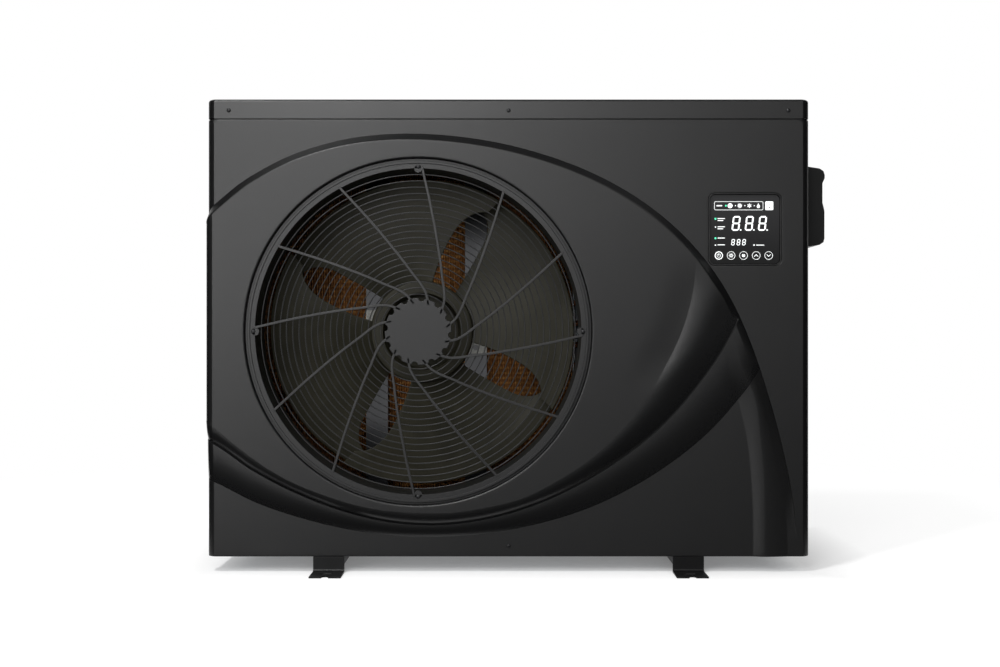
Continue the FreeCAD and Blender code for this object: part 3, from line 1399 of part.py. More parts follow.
def main():
    os.makedirs("parts", exist_ok=True)
    save(make_base_pan(), "base_pan")
    save(make_drain_spigot(), "drain_spigot")
    save(make_foot_rail(-foot_spacing / 2), "foot_rail_left")
    save(make_foot_rail(foot_spacing / 2), "foot_rail_right")
    save(make_front_panel(), "front_panel")
    save(make_top_cover(), "top_cover")
    save(make_side_panel_left(), "side_panel_left")
    save(make_side_panel_right(), "side_panel_right")
    save(make_rear_service_panel(), "rear_service_panel")
    save(make_rear_coil_guard(), "rear_coil_guard")
    save(make_partition(), "partition_plate")
    save(make_fan_shroud(), "fan_shroud")
    save(make_fan_grille(), "fan_grille")
    save(make_grille_screws(), "grille_screws")
    save(make_fan(), "fan")
    save(make_motor_shaft(), "motor_shaft")
    save(make_fan_nut(), "fan_nut")
    save(make_fan_motor(), "fan_motor")
    save(make_motor_bolts(), "motor_bolts")
    save(make_motor_bracket(), "motor_bracket")
    save(make_evaporator_fins(), "evaporator_fins")
    save(make_evaporator_tubes(), "evaporator_tubes")
    save(make_tube_sheets(), "tube_sheets")
    save(make_compressor(), "compressor")
    save(make_compressor_grommets(), "compressor_grommets")
    save(make_compressor_studs(), "compressor_studs")
    save(make_compressor_cap(), "compressor_cap")
    save(make_accumulator(), "accumulator")
    save(make_accumulator_strap(), "accumulator_strap")
    save(make_exchanger_shell(), "exchanger_shell")
    save(make_exchanger_coil(), "exchanger_coil")
    save(make_exchanger_stand(), "exchanger_stand")
    save(both_heights(make_water_pipe), "water_pipes")
    save(both_heights(make_union_tail), "union_tails")
    save(make_union_nut(water_low_z), "union_nut_in")
    save(make_union_nut(water_high_z), "union_nut_out")
    save(make_flow_switch(), "flow_switch")
    save(make_reversing_valve(), "reversing_valve")
    save(make_valve_coil(), "valve_coil")
    save(make_filter_drier(), "filter_drier")
    save(make_expansion_valve(), "expansion_valve")
    for name, line in make_pipes().items():
        save(line, name)
    save(make_pressure_switch(), "pressure_switch")
    save(make_electrical_box(), "electrical_box")
    save(make_inverter_board(), "inverter_board")
    save(make_capacitors(), "capacitors")
    save(make_reactor(), "reactor")
    save(make_heat_sink(), "heat_sink")
    save(make_display_bezel(), "display_bezel")
    save(make_display_window(), "display_window")
    save(make_display_board(), "display_board")
    save(make_terminal_cover(), "terminal_cover")
    save(make_cable_glands(), "cable_glands")
    save(make_terminal_block(), "terminal_block")
    save(make_lid_screws(), "lid_screws")
    save(make_casing_screws(), "casing_screws")


main()
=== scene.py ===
"""Pool and spa heat pump: its looks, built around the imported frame.

Sizes are in metres.  +Z is up, the fan grille faces -Y and +X is to the right of
somebody who looks at the grille.
"""

import json
import logging
import math
from collections.abc import Callable, Iterable, Sequence
from dataclasses import dataclass, field
from enum import Enum

import bmesh
import bpy
import numpy as np
from mathutils import Matrix, Vector
from mathutils.geometry import delaunay_2d_cdt


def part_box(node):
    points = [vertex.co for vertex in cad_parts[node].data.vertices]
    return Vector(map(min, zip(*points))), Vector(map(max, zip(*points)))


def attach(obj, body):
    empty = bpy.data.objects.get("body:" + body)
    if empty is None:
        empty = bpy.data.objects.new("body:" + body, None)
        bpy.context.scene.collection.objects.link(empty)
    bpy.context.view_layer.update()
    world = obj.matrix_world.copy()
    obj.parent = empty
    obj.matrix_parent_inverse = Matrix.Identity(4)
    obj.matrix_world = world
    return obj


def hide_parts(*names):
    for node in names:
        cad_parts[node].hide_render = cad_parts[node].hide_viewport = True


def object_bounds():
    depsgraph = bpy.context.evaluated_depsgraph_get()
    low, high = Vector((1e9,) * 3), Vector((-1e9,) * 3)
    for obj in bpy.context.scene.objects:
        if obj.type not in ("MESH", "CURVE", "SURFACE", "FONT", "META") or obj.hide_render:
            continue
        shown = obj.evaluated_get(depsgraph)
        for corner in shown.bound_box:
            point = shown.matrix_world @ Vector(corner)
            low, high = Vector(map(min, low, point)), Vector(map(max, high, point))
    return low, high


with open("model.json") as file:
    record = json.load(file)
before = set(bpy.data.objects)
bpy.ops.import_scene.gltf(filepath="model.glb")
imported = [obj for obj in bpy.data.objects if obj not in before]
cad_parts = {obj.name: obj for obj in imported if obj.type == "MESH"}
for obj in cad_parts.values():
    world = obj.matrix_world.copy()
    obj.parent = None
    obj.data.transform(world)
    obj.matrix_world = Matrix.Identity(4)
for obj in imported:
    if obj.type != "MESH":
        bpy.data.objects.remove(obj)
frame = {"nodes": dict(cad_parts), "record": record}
cad_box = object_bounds()
log = logging.getLogger("heat_pump")

Piece = bpy.types.Object
Socket = bpy.types.NodeSocket
Pattern = tuple[Socket, Socket, Socket]
Place = tuple[float, float]
Spot = tuple[float, float, float]
Colour = tuple[float, float, float]
WHITE = (1.0, 1.0, 1.0, 1.0)


# ---------------------------------------------------------------- workshop
MERGE = 1e-6
CAD_MERGE = 2e-5
TINY = 1e-6


def only(piece: Piece) -> None:
    """Select one object alone and make it the active one.

    Args:
        piece: The object.
    """
    bpy.ops.object.select_all(action="DESELECT")
    piece.select_set(True)
    bpy.context.view_layer.objects.active = piece


def settled(piece: Piece, name: str) -> Piece:
    """Name an object and move its place, turn and size into its mesh.

    Args:
        piece: The object.
        name: Its new name.

    Returns:
        The same object, at the origin.
    """
    piece.name = name
    only(piece)
    bpy.ops.object.transform_apply(location=True, rotation=True, scale=True)
    return piece


def sealed(piece: Piece, merge: float = 0.0) -> Piece:
    """Turn a closed shell's faces outwards.

    Args:
        piece: The shell.
        merge: How close two of its corners are to be made one, or 0 to keep them all.

    Returns:
        The same piece.
    """
    only(piece)
    bpy.ops.object.mode_set(mode="EDIT")
    bpy.ops.mesh.select_all(action="SELECT")
    if merge > 0.0:
        bpy.ops.mesh.remove_doubles(threshold=merge)
    bpy.ops.mesh.normals_make_consistent(inside=False)
    bpy.ops.object.mode_set(mode="OBJECT")
    return piece


def block(name: str, low: Sequence[float], high: Sequence[float]) -> Piece:
    """Add a box between two opposite corners.

    Args:
        name: Its name.
        low: One corner.
        high: The other.

    Returns:
        The box.
    """
    low, high = Vector(low), Vector(high)
    bpy.ops.mesh.primitive_cube_add(size=1.0, location=(low + high) / 2, scale=high - low)
    return settled(bpy.context.object, name)


def turned(name: str, profile: Sequence[Place], centre: Vector, steps: int = 96) -> Piece:
    """Spin a closed profile about a line along Y, as on a lathe.

    Args:
        name: The new object's name.
        profile: The outline's corners, each a radius and a place along Y.
        centre: A point on the line.
        steps: How many flats the round has.

    Returns:
        The closed solid.
    """
    bpy.ops.mesh.primitive_circle_add(vertices=len(profile), radius=1.0)
    piece = settled(bpy.context.object, name)
    for corner, (radius, y) in zip(piece.data.vertices, profile):
        corner.co = (centre.x + radius, y, centre.z)
    bpy.ops.object.mode_set(mode="EDIT")
    bpy.ops.mesh.select_all(action="SELECT")
    bpy.ops.mesh.spin(steps=steps, angle=math.tau, center=(centre.x, 0.0, centre.z), axis=(0, 1, 0))
    bpy.ops.object.mode_set(mode="OBJECT")
    return sealed(piece, MERGE)


def extruded(name: str, outline: Sequence[Spot], move: Spot) -> Piece:
    """Fill an outline and draw it out into a solid.

    Args:
        name: The new object's name.
        outline: The corners of the first face in order.
        move: How far and which way the second face lies from the first.

    Returns:
        The closed solid, whose first vertices are the outline's and whose next ones are the far face's.
    """
    bpy.ops.mesh.primitive_circle_add(vertices=len(outline), radius=1.0, fill_type="NGON")
    piece = settled(bpy.context.object, name)
    for corner, spot in zip(piece.data.vertices, outline):
        corner.co = spot
    bpy.ops.object.mode_set(mode="EDIT")
    bpy.ops.mesh.select_all(action="SELECT")
    bpy.ops.mesh.extrude_region_move(TRANSFORM_OT_translate={"value": move})
    bpy.ops.object.mode_set(mode="OBJECT")
    return sealed(piece)


def outlined(name: str, outline: Sequence[Place], y: float, depth: float) -> Piece:
    """Cut a plate that faces -Y to an outline.

    Args:
        name: The new object's name.
        outline: The corners in order, each an x and a z.
        y: The front face's place along Y.
        depth: How thick the plate is, towards +Y.

    Returns:
        The closed plate.
    """
    return extruded(name, [(x, y, z) for x, z in outline], (0.0, depth, 0.0))


def ribbon(name: str, rows: int, columns: int, surface: Callable[[float, float], Vector]) -> Piece:
    """Shape a grid to a surface.

    Args:
        name: The new object's name.
        rows: How many cells the grid has along the surface's first share.
        columns: How many it has along the second.
        surface: Gives the place for two shares from 0 to 1.

    Returns:
        The open sheet.
    """
    bpy.ops.mesh.primitive_grid_add(x_subdivisions=rows, y_subdivisions=columns, size=1.0)
    piece = settled(bpy.context.object, name)
    for corner in piece.data.vertices:
        corner.co = surface(corner.co.x + 0.5, corner.co.y + 0.5)
    return piece


def worked(piece: Piece, kind: str, **settings: object) -> Piece:
    """Put a modifier on a piece and apply it.

    Args:
        piece: The piece.
        kind: The modifier's type, as Blender names it.
        **settings: The modifier's settings by name.

    Returns:
        The same piece.
    """
    modifier = piece.modifiers.new(kind.title(), kind)
    for key, value in settings.items():
        setattr(modifier, key, value)
    only(piece)
    bpy.ops.object.modifier_apply(modifier=modifier.name)
    return piece


def eased(piece: Piece, width: float, segments: int = 2, angle: float = 30.0) -> Piece:
    """Round the edges that are sharper than an angle in degrees."""
    return worked(piece, "BEVEL", width=width, segments=segments, limit_method="ANGLE",
                  angle_limit=math.radians(angle))


def smoothed(piece: Piece, angle: float = 32.0) -> Piece:
    """Shade a piece smooth, with its sharper edges left sharp.

    Args:
        piece: The piece.
        angle: From how many degrees an edge is sharp.

    Returns:
        The same piece.
    """
    only(piece)
    bpy.ops.object.shade_smooth_by_angle(angle=math.radians(angle))
    return worked(piece, "WEIGHTED_NORMAL", keep_sharp=True)


def copied(piece: Piece, move: Matrix) -> Piece:
    """Copy a piece with a mesh of its own.

    Args:
        piece: The piece, which stays as it is.
        move: The matrix that the copy's mesh is moved by.

    Returns:
        The copy.
    """
    twin = piece.copy()
    twin.data = piece.data.copy()
    twin.data.transform(move)
    bpy.context.scene.collection.objects.link(twin)
    return twin


def joined(name: str, pieces: Sequence[Piece]) -> Piece:
    """Join several pieces into one object.

    Args:
        name: The object's name.
        pieces: The pieces, of which the first takes in the rest.

    Returns:
        The one object.
    """
    only(pieces[0])
    for piece in pieces:
        piece.select_set(True)
    if len(pieces) > 1:
        bpy.ops.object.join()
    pieces[0].name = name
    return pieces[0]


def turn_about(centre: Vector, degrees: float) -> Matrix:
    """Return a turn about the Y line through a centre, anticlockwise for somebody in front."""
    spin = Matrix.Rotation(-math.radians(degrees), 4, "Y")
    return Matrix.Translation(centre) @ spin @ Matrix.Translation(-centre)


def around(piece: Piece, centre: Vector, count: int) -> list[Piece]:
    """Return a piece and its copies, evenly spaced about the Y line through a centre."""
    turns = [turn_about(centre, 360.0 * i / count) for i in range(1, count)]
    return [piece] + [copied(piece, turn) for turn in turns]


def arc(centre: Place, radius: float, first: float, last: float, steps: int) -> list[Place]:
    """Return points on an arc between two angles in degrees."""
    angles = [math.radians(first + (last - first) * i / steps) for i in range(steps + 1)]
    return [(centre[0] + radius * math.cos(a), centre[1] + radius * math.sin(a)) for a in angles]


def rounded_outline(low: Place, high: Place, radius: float, steps: int = 6) -> list[Place]:
    """Draw a rectangle with round corners.

    Args:
        low: Its lower left corner.
        high: Its upper right corner.
        radius: The corners' radius.
        steps: How many flats each corner has.

    Returns:
        Its outline, anticlockwise from the right.
    """
    (x0, z0), (x1, z1) = low, high
    corners = [(x1 - radius, z1 - radius), (x0 + radius, z1 - radius),
               (x0 + radius, z0 + radius), (x1 - radius, z0 + radius)]
    return [spot for i, corner in enumerate(corners)
            for spot in arc(corner, radius, 90.0 * i, 90.0 * (i + 1), steps)]


def cleaned(node: str, whole: bool = True) -> Piece:
    """Copy a CAD node's shape, with its loose triangles merged.

    Args:
        node: The CAD node.
        whole: Whether its flat faces are made whole, which a sheet full of slots can't take.

    Returns:
        The copy.
    """
    source = frame["nodes"][node]
    piece = source.copy()
    piece.data = source.data.copy()
    piece.parent = None
    for key in [key for key in piece.keys() if key.startswith("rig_")]:
        del piece[key]
    bpy.context.scene.collection.objects.link(piece)
    piece.name = node + "_finished"
    only(piece)
    bpy.ops.mesh.customdata_custom_splitnormals_clear()
    bpy.ops.object.mode_set(mode="EDIT")
    bpy.ops.mesh.select_all(action="SELECT")
    bpy.ops.mesh.remove_doubles(threshold=CAD_MERGE)
    if whole:
        bpy.ops.mesh.dissolve_limited(angle_limit=math.radians(0.6))
    bpy.ops.object.mode_set(mode="OBJECT")
    return piece


# ---------------------------------------------------------------- finishes
SLEEK = "sleek"


class Grain(Enum):
    """How a finish's surface is textured."""

    SPECKLE = "fine moulded speckle"
    PEEL = "powder coat"
    SPANGLE = "zinc spangle"
    BRUSHED = "drawn or brushed lines"
    CAST = "cast skin"
    FLOW = "glass-filled moulding"
    LAMINATED = "stacked sheets"
    BOARD = "circuit board"
    RIPPLE = "pressed fin rows"
    SKIN = "smooth rubber or plastic skin"
    GLASS = "polished glass"


class Nodes:
    """A tree of shader nodes, with short ways to add them and join them up."""

    def __init__(self, owner: bpy.types.Material | bpy.types.World) -> None:
        """Take the nodes of a material or a world."""
        owner.use_nodes = True
        self.tree = owner.node_tree

    def node(self, kind: str, inputs: dict | None = None, **settings: object) -> bpy.types.Node:
        """Add a node.

        Args:
            kind: The shader node's type, without the words that all of them start with.
            inputs: What to fill or link its inputs with, by name or number.
            **settings: Its other settings by name.

        Returns:
            The node.
        """
        made = self.tree.nodes.new("ShaderNode" + kind)
        for key, value in settings.items():
            setattr(made, key, value)
        for key, value in (inputs or {}).items():
            self.join(value, made.inputs[key])
        return made

    def join(self, value: object, socket: Socket) -> None:
        """Link a socket to an input, or set the input to a plain value.

        Args:
            value: The socket or the plain value.
            socket: The input.
        """
        if isinstance(value, Socket):
            self.tree.links.new(value, socket)
        else:
            socket.default_value = value

    def ramp(self, value: Socket, low: float, high: float,
             to_low: float = 0.0, to_high: float = 1.0) -> Socket:
        """Map a value from one range to another and hold it inside.

        Args:
            value: The value.
            low: Where its range starts.
            high: Where that ends.
            to_low: Where the new range starts.
            to_high: Where that ends.

        Returns:
            The mapped value.
        """
        inputs = {"Value": value, "From Min": low, "From Max": high, "To Min": to_low, "To Max": to_high}
        return self.node("MapRange", inputs, clamp=True).outputs["Result"]

    def sum(self, first: object, second: object, operation: str = "ADD") -> Socket:
        """Do a sum on two values."""
        return self.node("Math", {0: first, 1: second}, operation=operation).outputs["Value"]

    def seen(self) -> Socket:
        """Tell the camera's sight from light.

        Returns:
            1 for what is seen, by itself or in a mirror or glass, and 0 for light.
        """
        path = self.node("LightPath").outputs
        mirrored = self.sum(path["Is Glossy Ray"], path["Is Transmission Ray"], "MAXIMUM")
        return self.sum(path["Is Camera Ray"], mirrored, "MAXIMUM")


class Sheet(Nodes):
    """A material's nodes, with the patterns that its finish is made of."""

    def __init__(self, name: str) -> None:
        """Start a material with a principled shader.

        Args:
            name: The material's name.
        """
        self.material = bpy.data.materials.new(name)
        super().__init__(self.material)
        self.shader = self.tree.nodes["Principled BSDF"]
        self.place = self.node("TexCoord").outputs["Object"]

    def noise(self, scale: float, detail: float = 2.0, stretch: Spot = (1.0, 1.0, 1.0),
              distortion: float = 0.0) -> Socket:
        """Return noise of so many waves a metre, stretched along the axes.

        Args:
            scale: How many waves there are in a metre.
            detail: How many finer layers lie over the first.
            stretch: The share of the scale that holds along each axis.
            distortion: How far the noise is swirled.

        Returns:
            The noise, from 0 to 1.
        """
        mapped = self.node("Mapping", {"Vector": self.place, "Scale": stretch})
        inputs = {"Vector": mapped.outputs["Vector"], "Scale": scale, "Detail": detail,
                  "Distortion": distortion}
        return self.node("TexNoise", inputs).outputs["Fac"]

    def cells(self, scale: float, output: str = "Distance", feature: str = "F1") -> Socket:
        """Return a Voronoi pattern of so many cells a metre."""
        inputs = {"Vector": self.place, "Scale": scale}
        return self.node("TexVoronoi", inputs, feature=feature).outputs[output]

    def waves(self, scale: float, direction: str, distortion: float = 0.0) -> Socket:
        """Return straight bands across an axis, so many a metre."""
        inputs = {"Vector": self.place, "Scale": scale * math.pi / 10.0, "Distortion": distortion}
        return self.node("TexWave", inputs, bands_direction=direction).outputs["Fac"]

    def blend(self, share: object, first: object, second: object) -> Socket:
        """Mix two colours.

        Args:
            share: How much of the second there is, from 0 to 1.
            first: A colour or a socket.
            second: Another.

        Returns:
            The mixed colour.
        """
        mixer = self.node("Mix", data_type="RGBA")
        self.join(share, mixer.inputs["Factor"])
        for key, value in ((6, first), (7, second)):
            self.join((*value, 1.0) if isinstance(value, tuple) else value, mixer.inputs[key])
        return mixer.outputs[2]

    def relief(self, height: Socket, depth: float) -> None:
        """Emboss the shader's surface by a height from 0 to 1 times a depth."""
        bump = self.node("Bump", {"Strength": 1.0, "Distance": depth, "Height": height})
        self.tree.links.new(bump.outputs["Normal"], self.shader.inputs["Normal"])


@dataclass(frozen=True)
class Finish:
    """One finish: its colours, how rough and metallic it is, and its grain.

    Each grain has a method of its own, which gives how far the second colour shows, how
    rough the surface is within its range, and how high it stands, all from 0 to 1.
    """

    slot: str
    colour: Colour
    second: Colour
    roughness: float
    grain: Grain
    scale: float = 500.0
    depth: float = 0.00003
    metallic: float = 0.0
    specular: float = 0.5
    glow: float = 0.0
    sleek: float = 0.0

    def material(self) -> bpy.types.Material:
        """Make this finish's material, or find it where it is made already.

        Returns:
            The material.
        """
        found = bpy.data.materials.get(self.slot + "_finish")
        if found:
            return found
        sheet = Sheet(self.slot + "_finish")
        shader = sheet.shader
        shader.inputs["Metallic"].default_value = self.metallic
        shader.inputs["Specular IOR Level"].default_value = self.specular
        share, rough, height = getattr(self, "_" + self.grain.name.lower())(sheet)
        tone = sheet.blend(share, self.colour, self.second)
        sheet.join(tone, shader.inputs["Base Color"])
        if self.glow:
            sheet.join(tone, shader.inputs["Emission Color"])
            shader.inputs["Emission Strength"].default_value = self.glow
        rough = sheet.ramp(rough, 0.0, 1.0, self.roughness * 0.82, self.roughness * 1.2)
        if self.sleek:
            drawn = sheet.node("Attribute", attribute_name=SLEEK).outputs["Fac"]
            rough = sheet.sum(rough, sheet.ramp(drawn, 0.0, 1.0, 1.0, 1.0 - self.sleek), "MULTIPLY")
        sheet.join(rough, shader.inputs["Roughness"])
        sheet.relief(height, self.depth)
        return sheet.material

    def _speckle(self, sheet: Sheet) -> Pattern:
        """Fine grains with a slow change of tone under them.

        Args:
            sheet: The material so far.

        Returns:
            Its tone, roughness and height.
        """
        fine = sheet.noise(self.scale, 3.0)
        dots = sheet.ramp(sheet.cells(self.scale * 0.8), 0.05, 0.55)
        slow = sheet.noise(6.0, 2.0)
        share = sheet.sum(sheet.ramp(fine, 0.35, 0.75, 0.0, 0.6), sheet.ramp(slow, 0.3, 0.7, 0.0, 0.4))
        return share, fine, sheet.sum(sheet.sum(fine, 0.5, "MULTIPLY"), dots)

    def _peel(self, sheet: Sheet) -> Pattern:
        """Orange peel with fine dust in it, and faint wipe marks.

        Args:
            sheet: The material so far.

        Returns:
            Its tone, roughness and height.
        """
        peel = sheet.noise(self.scale, 1.0)
        dust = sheet.noise(self.scale * 5.0, 2.0)
        marks = sheet.noise(14.0, 4.0, (1.0, 1.0, 0.3), 0.6)
        share = sheet.sum(sheet.ramp(dust, 0.4, 0.8, 0.0, 0.5), sheet.ramp(marks, 0.45, 0.75, 0.0, 0.5))
        return share, sheet.sum(marks, dust, "MULTIPLY"), sheet.sum(peel, sheet.sum(dust, 0.25, "MULTIPLY"))

    def _spangle(self, sheet: Sheet) -> Pattern:
        """Zinc crystals, each with its own tone, and fine scratches.

        Args:
            sheet: The material so far.

        Returns:
            Its tone, roughness and height.
        """
        cell = sheet.node("SeparateColor", {"Color": sheet.cells(self.scale, "Color")}).outputs["Red"]
        edge = sheet.ramp(sheet.cells(self.scale, "Distance", "DISTANCE_TO_EDGE"), 0.0, 0.08)
        scratch = sheet.noise(900.0, 2.0, (1.0, 1.0, 0.05))
        share = sheet.sum(cell, sheet.ramp(scratch, 0.5, 0.8, 0.0, 0.3))
        return share, cell, sheet.sum(edge, sheet.sum(scratch, 0.3, "MULTIPLY"))

    def _brushed(self, sheet: Sheet) -> Pattern:
        """Fine lines drawn along the piece, with cloudy tarnish.

        Args:
            sheet: The material so far.

        Returns:
            Its tone, roughness and height.
        """
        lines = sheet.noise(self.scale, 3.0, (1.0, 1.0, 0.04))
        cloud = sheet.noise(35.0, 5.0, distortion=0.8)
        return sheet.ramp(cloud, 0.42, 0.68), sheet.sum(cloud, lines, "MULTIPLY"), lines

    def _cast(self, sheet: Sheet) -> Pattern:
        """A sand-cast skin with darker pits.

        Args:
            sheet: The material so far.

        Returns:
            Its tone, roughness and height.
        """
        skin = sheet.noise(self.scale, 5.0)
        pits = sheet.ramp(sheet.cells(self.scale * 0.5), 0.1, 0.45)
        return sheet.ramp(skin, 0.35, 0.7), skin, sheet.sum(skin, pits)

    def _flow(self, sheet: Sheet) -> Pattern:
        """Faint swirls where the plastic flowed, with glass fibre in it.

        Args:
            sheet: The material so far.

        Returns:
            Its tone, roughness and height.
        """
        swirl = sheet.noise(16.0, 4.0, distortion=2.4)
        fibre = sheet.noise(self.scale, 2.0, (1.0, 1.0, 0.25))
        share = sheet.sum(sheet.ramp(swirl, 0.35, 0.7, 0.0, 0.7), sheet.ramp(fibre, 0.5, 0.8, 0.0, 0.3))
        return share, swirl, sheet.sum(fibre, sheet.sum(swirl, 0.5, "MULTIPLY"))

    def _laminated(self, sheet: Sheet) -> Pattern:
        """The edges of stacked iron sheets, with a bloom of rust.

        Args:
            sheet: The material so far.

        Returns:
            Its tone, roughness and height.
        """
        stack = sheet.waves(self.scale, "X")
        rust = sheet.noise(70.0, 5.0)
        return sheet.ramp(rust, 0.45, 0.72), rust, stack

    def _board(self, sheet: Sheet) -> Pattern:
        """Copper tracks under lacquer, and rows of solder pads.

        Args:
            sheet: The material so far.

        Returns:
            Its tone, roughness and height.
        """
        tracks = sheet.ramp(sheet.cells(self.scale, "Distance", "DISTANCE_TO_EDGE"), 0.04, 0.07)
        pads = sheet.ramp(sheet.cells(self.scale * 2.0), 0.12, 0.16)
        share = sheet.sum(1.0, sheet.sum(tracks, pads, "MULTIPLY"), "SUBTRACT")
        return share, pads, share

    def _ripple(self, sheet: Sheet) -> Pattern:
        """Rows pressed across the fins, with painted highlights along them, and the coating's uneven glow.

        Args:
            sheet: The material so far.

        Returns:
            Its tone, roughness and height.
        """
        rows = sheet.waves(self.scale, "Z")
        glow = sheet.noise(60.0, 4.0)
        fine = sheet.noise(420.0, 2.0)
        # Painted highlight: the brighter gold follows the pressed rows, where light would glint.
        share = sheet.sum(sheet.ramp(rows, 0.25, 0.9), sheet.ramp(fine, 0.35, 0.75), "MULTIPLY")
        return sheet.sum(share, sheet.ramp(glow, 0.4, 0.7, 0.3, 1.0), "MULTIPLY"), fine, rows

    def _skin(self, sheet: Sheet) -> Pattern:
        """A smooth moulded skin with a faint bloom.

        Args:
            sheet: The material so far.

        Returns:
            Its tone, roughness and height.
        """
        bloom = sheet.noise(45.0, 4.0)
        fine = sheet.noise(self.scale, 2.0)
        return sheet.ramp(bloom, 0.4, 0.75), sheet.sum(bloom, fine, "MULTIPLY"), fine

    def _glass(self, sheet: Sheet) -> Pattern:
        """Glass over a smoked print, with painted sheen: its colour grows paler towards its upper edge, as
        light from above would make it.

        Args:
            sheet: The material so far.

        Returns:
            Its tone, roughness and height.
        """
        low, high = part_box("display_window")
        up = sheet.node("SeparateXYZ", {"Vector": sheet.place}).outputs["Z"]
        # Painted sheen: the glass's colour pales from its lower edge to its upper one.
        fade = sheet.ramp(up, low.z, high.z)
        smear = sheet.noise(120.0, 3.0, (1.0, 1.0, 0.4), 0.5)
        return fade, smear, smear


FINISHES = {finish.slot: finish for finish in (
    Finish("front_moulding", (0.0040, 0.0040, 0.0042), (0.0066, 0.0066, 0.0069), 0.40, Grain.SPECKLE,
           1500.0, 0.000035, specular=0.48, sleek=0.34),
    Finish("casing_paint", (0.0042, 0.0042, 0.0044), (0.0072, 0.0072, 0.0075), 0.41, Grain.PEEL, 620.0),
    Finish("foot_paint", (0.0040, 0.0040, 0.0042), (0.0070, 0.0070, 0.0073), 0.42, Grain.PEEL,
           540.0, specular=0.28),
    Finish("cover_plastic", (0.0040, 0.0040, 0.0042), (0.0068, 0.0068, 0.0071), 0.44, Grain.SPECKLE,
           1100.0, 0.00004, specular=0.28),
    Finish("galvanised", (0.30, 0.32, 0.34), (0.50, 0.52, 0.54), 0.42, Grain.SPANGLE, 70.0, 0.00002, 0.9),
    Finish("black_plastic", (0.0060, 0.0060, 0.0062), (0.0110, 0.0110, 0.0112), 0.50, Grain.SKIN, 900.0),
    Finish("grille_plastic", (0.0110, 0.0110, 0.0113), (0.0165, 0.0165, 0.0168), 0.41, Grain.SPECKLE,
           1300.0, 0.00003, specular=0.42),
    Finish("fan_plastic", (0.0170, 0.0158, 0.0090), (0.0260, 0.0242, 0.0145), 0.50, Grain.FLOW, 700.0,
           specular=0.20),
    # The display glass: its paler second colour is painted sheen along the glass's upper edge.
    Finish("display_glass", (0.0015, 0.0015, 0.0017), (0.0200, 0.0200, 0.0210), 0.12, Grain.GLASS,
           depth=0.000002, specular=0.16),
    Finish("circuit_board", (0.012, 0.075, 0.030), (0.33, 0.24, 0.08), 0.35, Grain.BOARD, 160.0, 0.00003),
    Finish("screw_steel", (0.010, 0.010, 0.011), (0.026, 0.026, 0.028), 0.42, Grain.BRUSHED, 1800.0,
           0.00001, 0.4),
    Finish("shaft_steel", (0.42, 0.42, 0.43), (0.24, 0.23, 0.22), 0.28, Grain.BRUSHED, 1500.0, 0.00001, 1.0),
    Finish("motor_aluminium", (0.11, 0.11, 0.10), (0.07, 0.07, 0.065), 0.48, Grain.CAST, 420.0, 0.00008, 0.5),
    # The golden fins: their brighter second colour shows along the pressed rows as painted highlight.
    Finish("golden_fins", (0.22, 0.085, 0.022), (0.95, 0.52, 0.18), 0.34, Grain.RIPPLE, 115.0, 0.0006, 0.25),
    # The bracket's steel: galvanised steel given a near-black tone, as painted shade behind the fan.
    Finish("bracket_steel_painted_shade", (0.013, 0.014, 0.017), (0.020, 0.0215, 0.026), 0.50, Grain.BRUSHED, 500.0,
           0.00002, 0.2),
    Finish("copper", (0.72, 0.32, 0.17), (0.30, 0.13, 0.075), 0.32, Grain.BRUSHED, 1100.0, 0.00001, 1.0),
    Finish("valve_brass", (0.62, 0.43, 0.16), (0.40, 0.27, 0.10), 0.34, Grain.CAST, 500.0, 0.00004, 1.0),
    Finish("compressor_paint", (0.010, 0.010, 0.011), (0.030, 0.030, 0.031), 0.28, Grain.PEEL, 300.0,
           0.00006),
    Finish("grommet_rubber", (0.012, 0.012, 0.012), (0.028, 0.028, 0.027), 0.72, Grain.SKIN, 1200.0, 0.00004),
    Finish("shell_plastic", (0.045, 0.047, 0.050), (0.075, 0.077, 0.080), 0.38, Grain.SKIN, 500.0, 0.00003),
    Finish("union_plastic", (0.055, 0.058, 0.062), (0.090, 0.093, 0.097), 0.40, Grain.SPECKLE, 900.0,
           0.00004),
    Finish("titanium", (0.46, 0.43, 0.40), (0.30, 0.28, 0.30), 0.34, Grain.BRUSHED, 1300.0, 0.00001, 1.0),
    Finish("capacitor_sleeve", (0.010, 0.020, 0.060), (0.022, 0.036, 0.090), 0.30, Grain.SKIN, 700.0,
           0.00002),
    Finish("display_white", (0.72, 0.74, 0.74), (0.84, 0.86, 0.86), 0.45, Grain.SKIN, 900.0, 0.00001,
           glow=0.75),
    Finish("display_green", (0.06, 0.60, 0.32), (0.10, 0.75, 0.42), 0.45, Grain.SKIN, 900.0, 0.00001,
           glow=0.8),
    Finish("reactor_iron", (0.13, 0.12, 0.11), (0.22, 0.085, 0.040), 0.52, Grain.LAMINATED, 1000.0,
           0.0002, 0.5),
)}


def dressed(piece: Piece, slot: str, body: str = "casing", nodes: Iterable[str] = ()) -> Piece:
    """Give a finished piece its material and its place in the frame.

    Args:
        piece: The piece, complete and in place.
        slot: The material slot that it takes its finish from.
        body: The CAD body that it moves with.
        nodes: The CAD nodes that it stands for.

    Returns:
        The same piece.
    """
    piece.data.materials.clear()
    piece.data.materials.append(FINISHES[slot].material())
    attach(piece, body)
    if nodes:
        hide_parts(*nodes)
    log.info("%s: %d faces, %s", piece.name, len(piece.data.polygons), slot)
    return piece


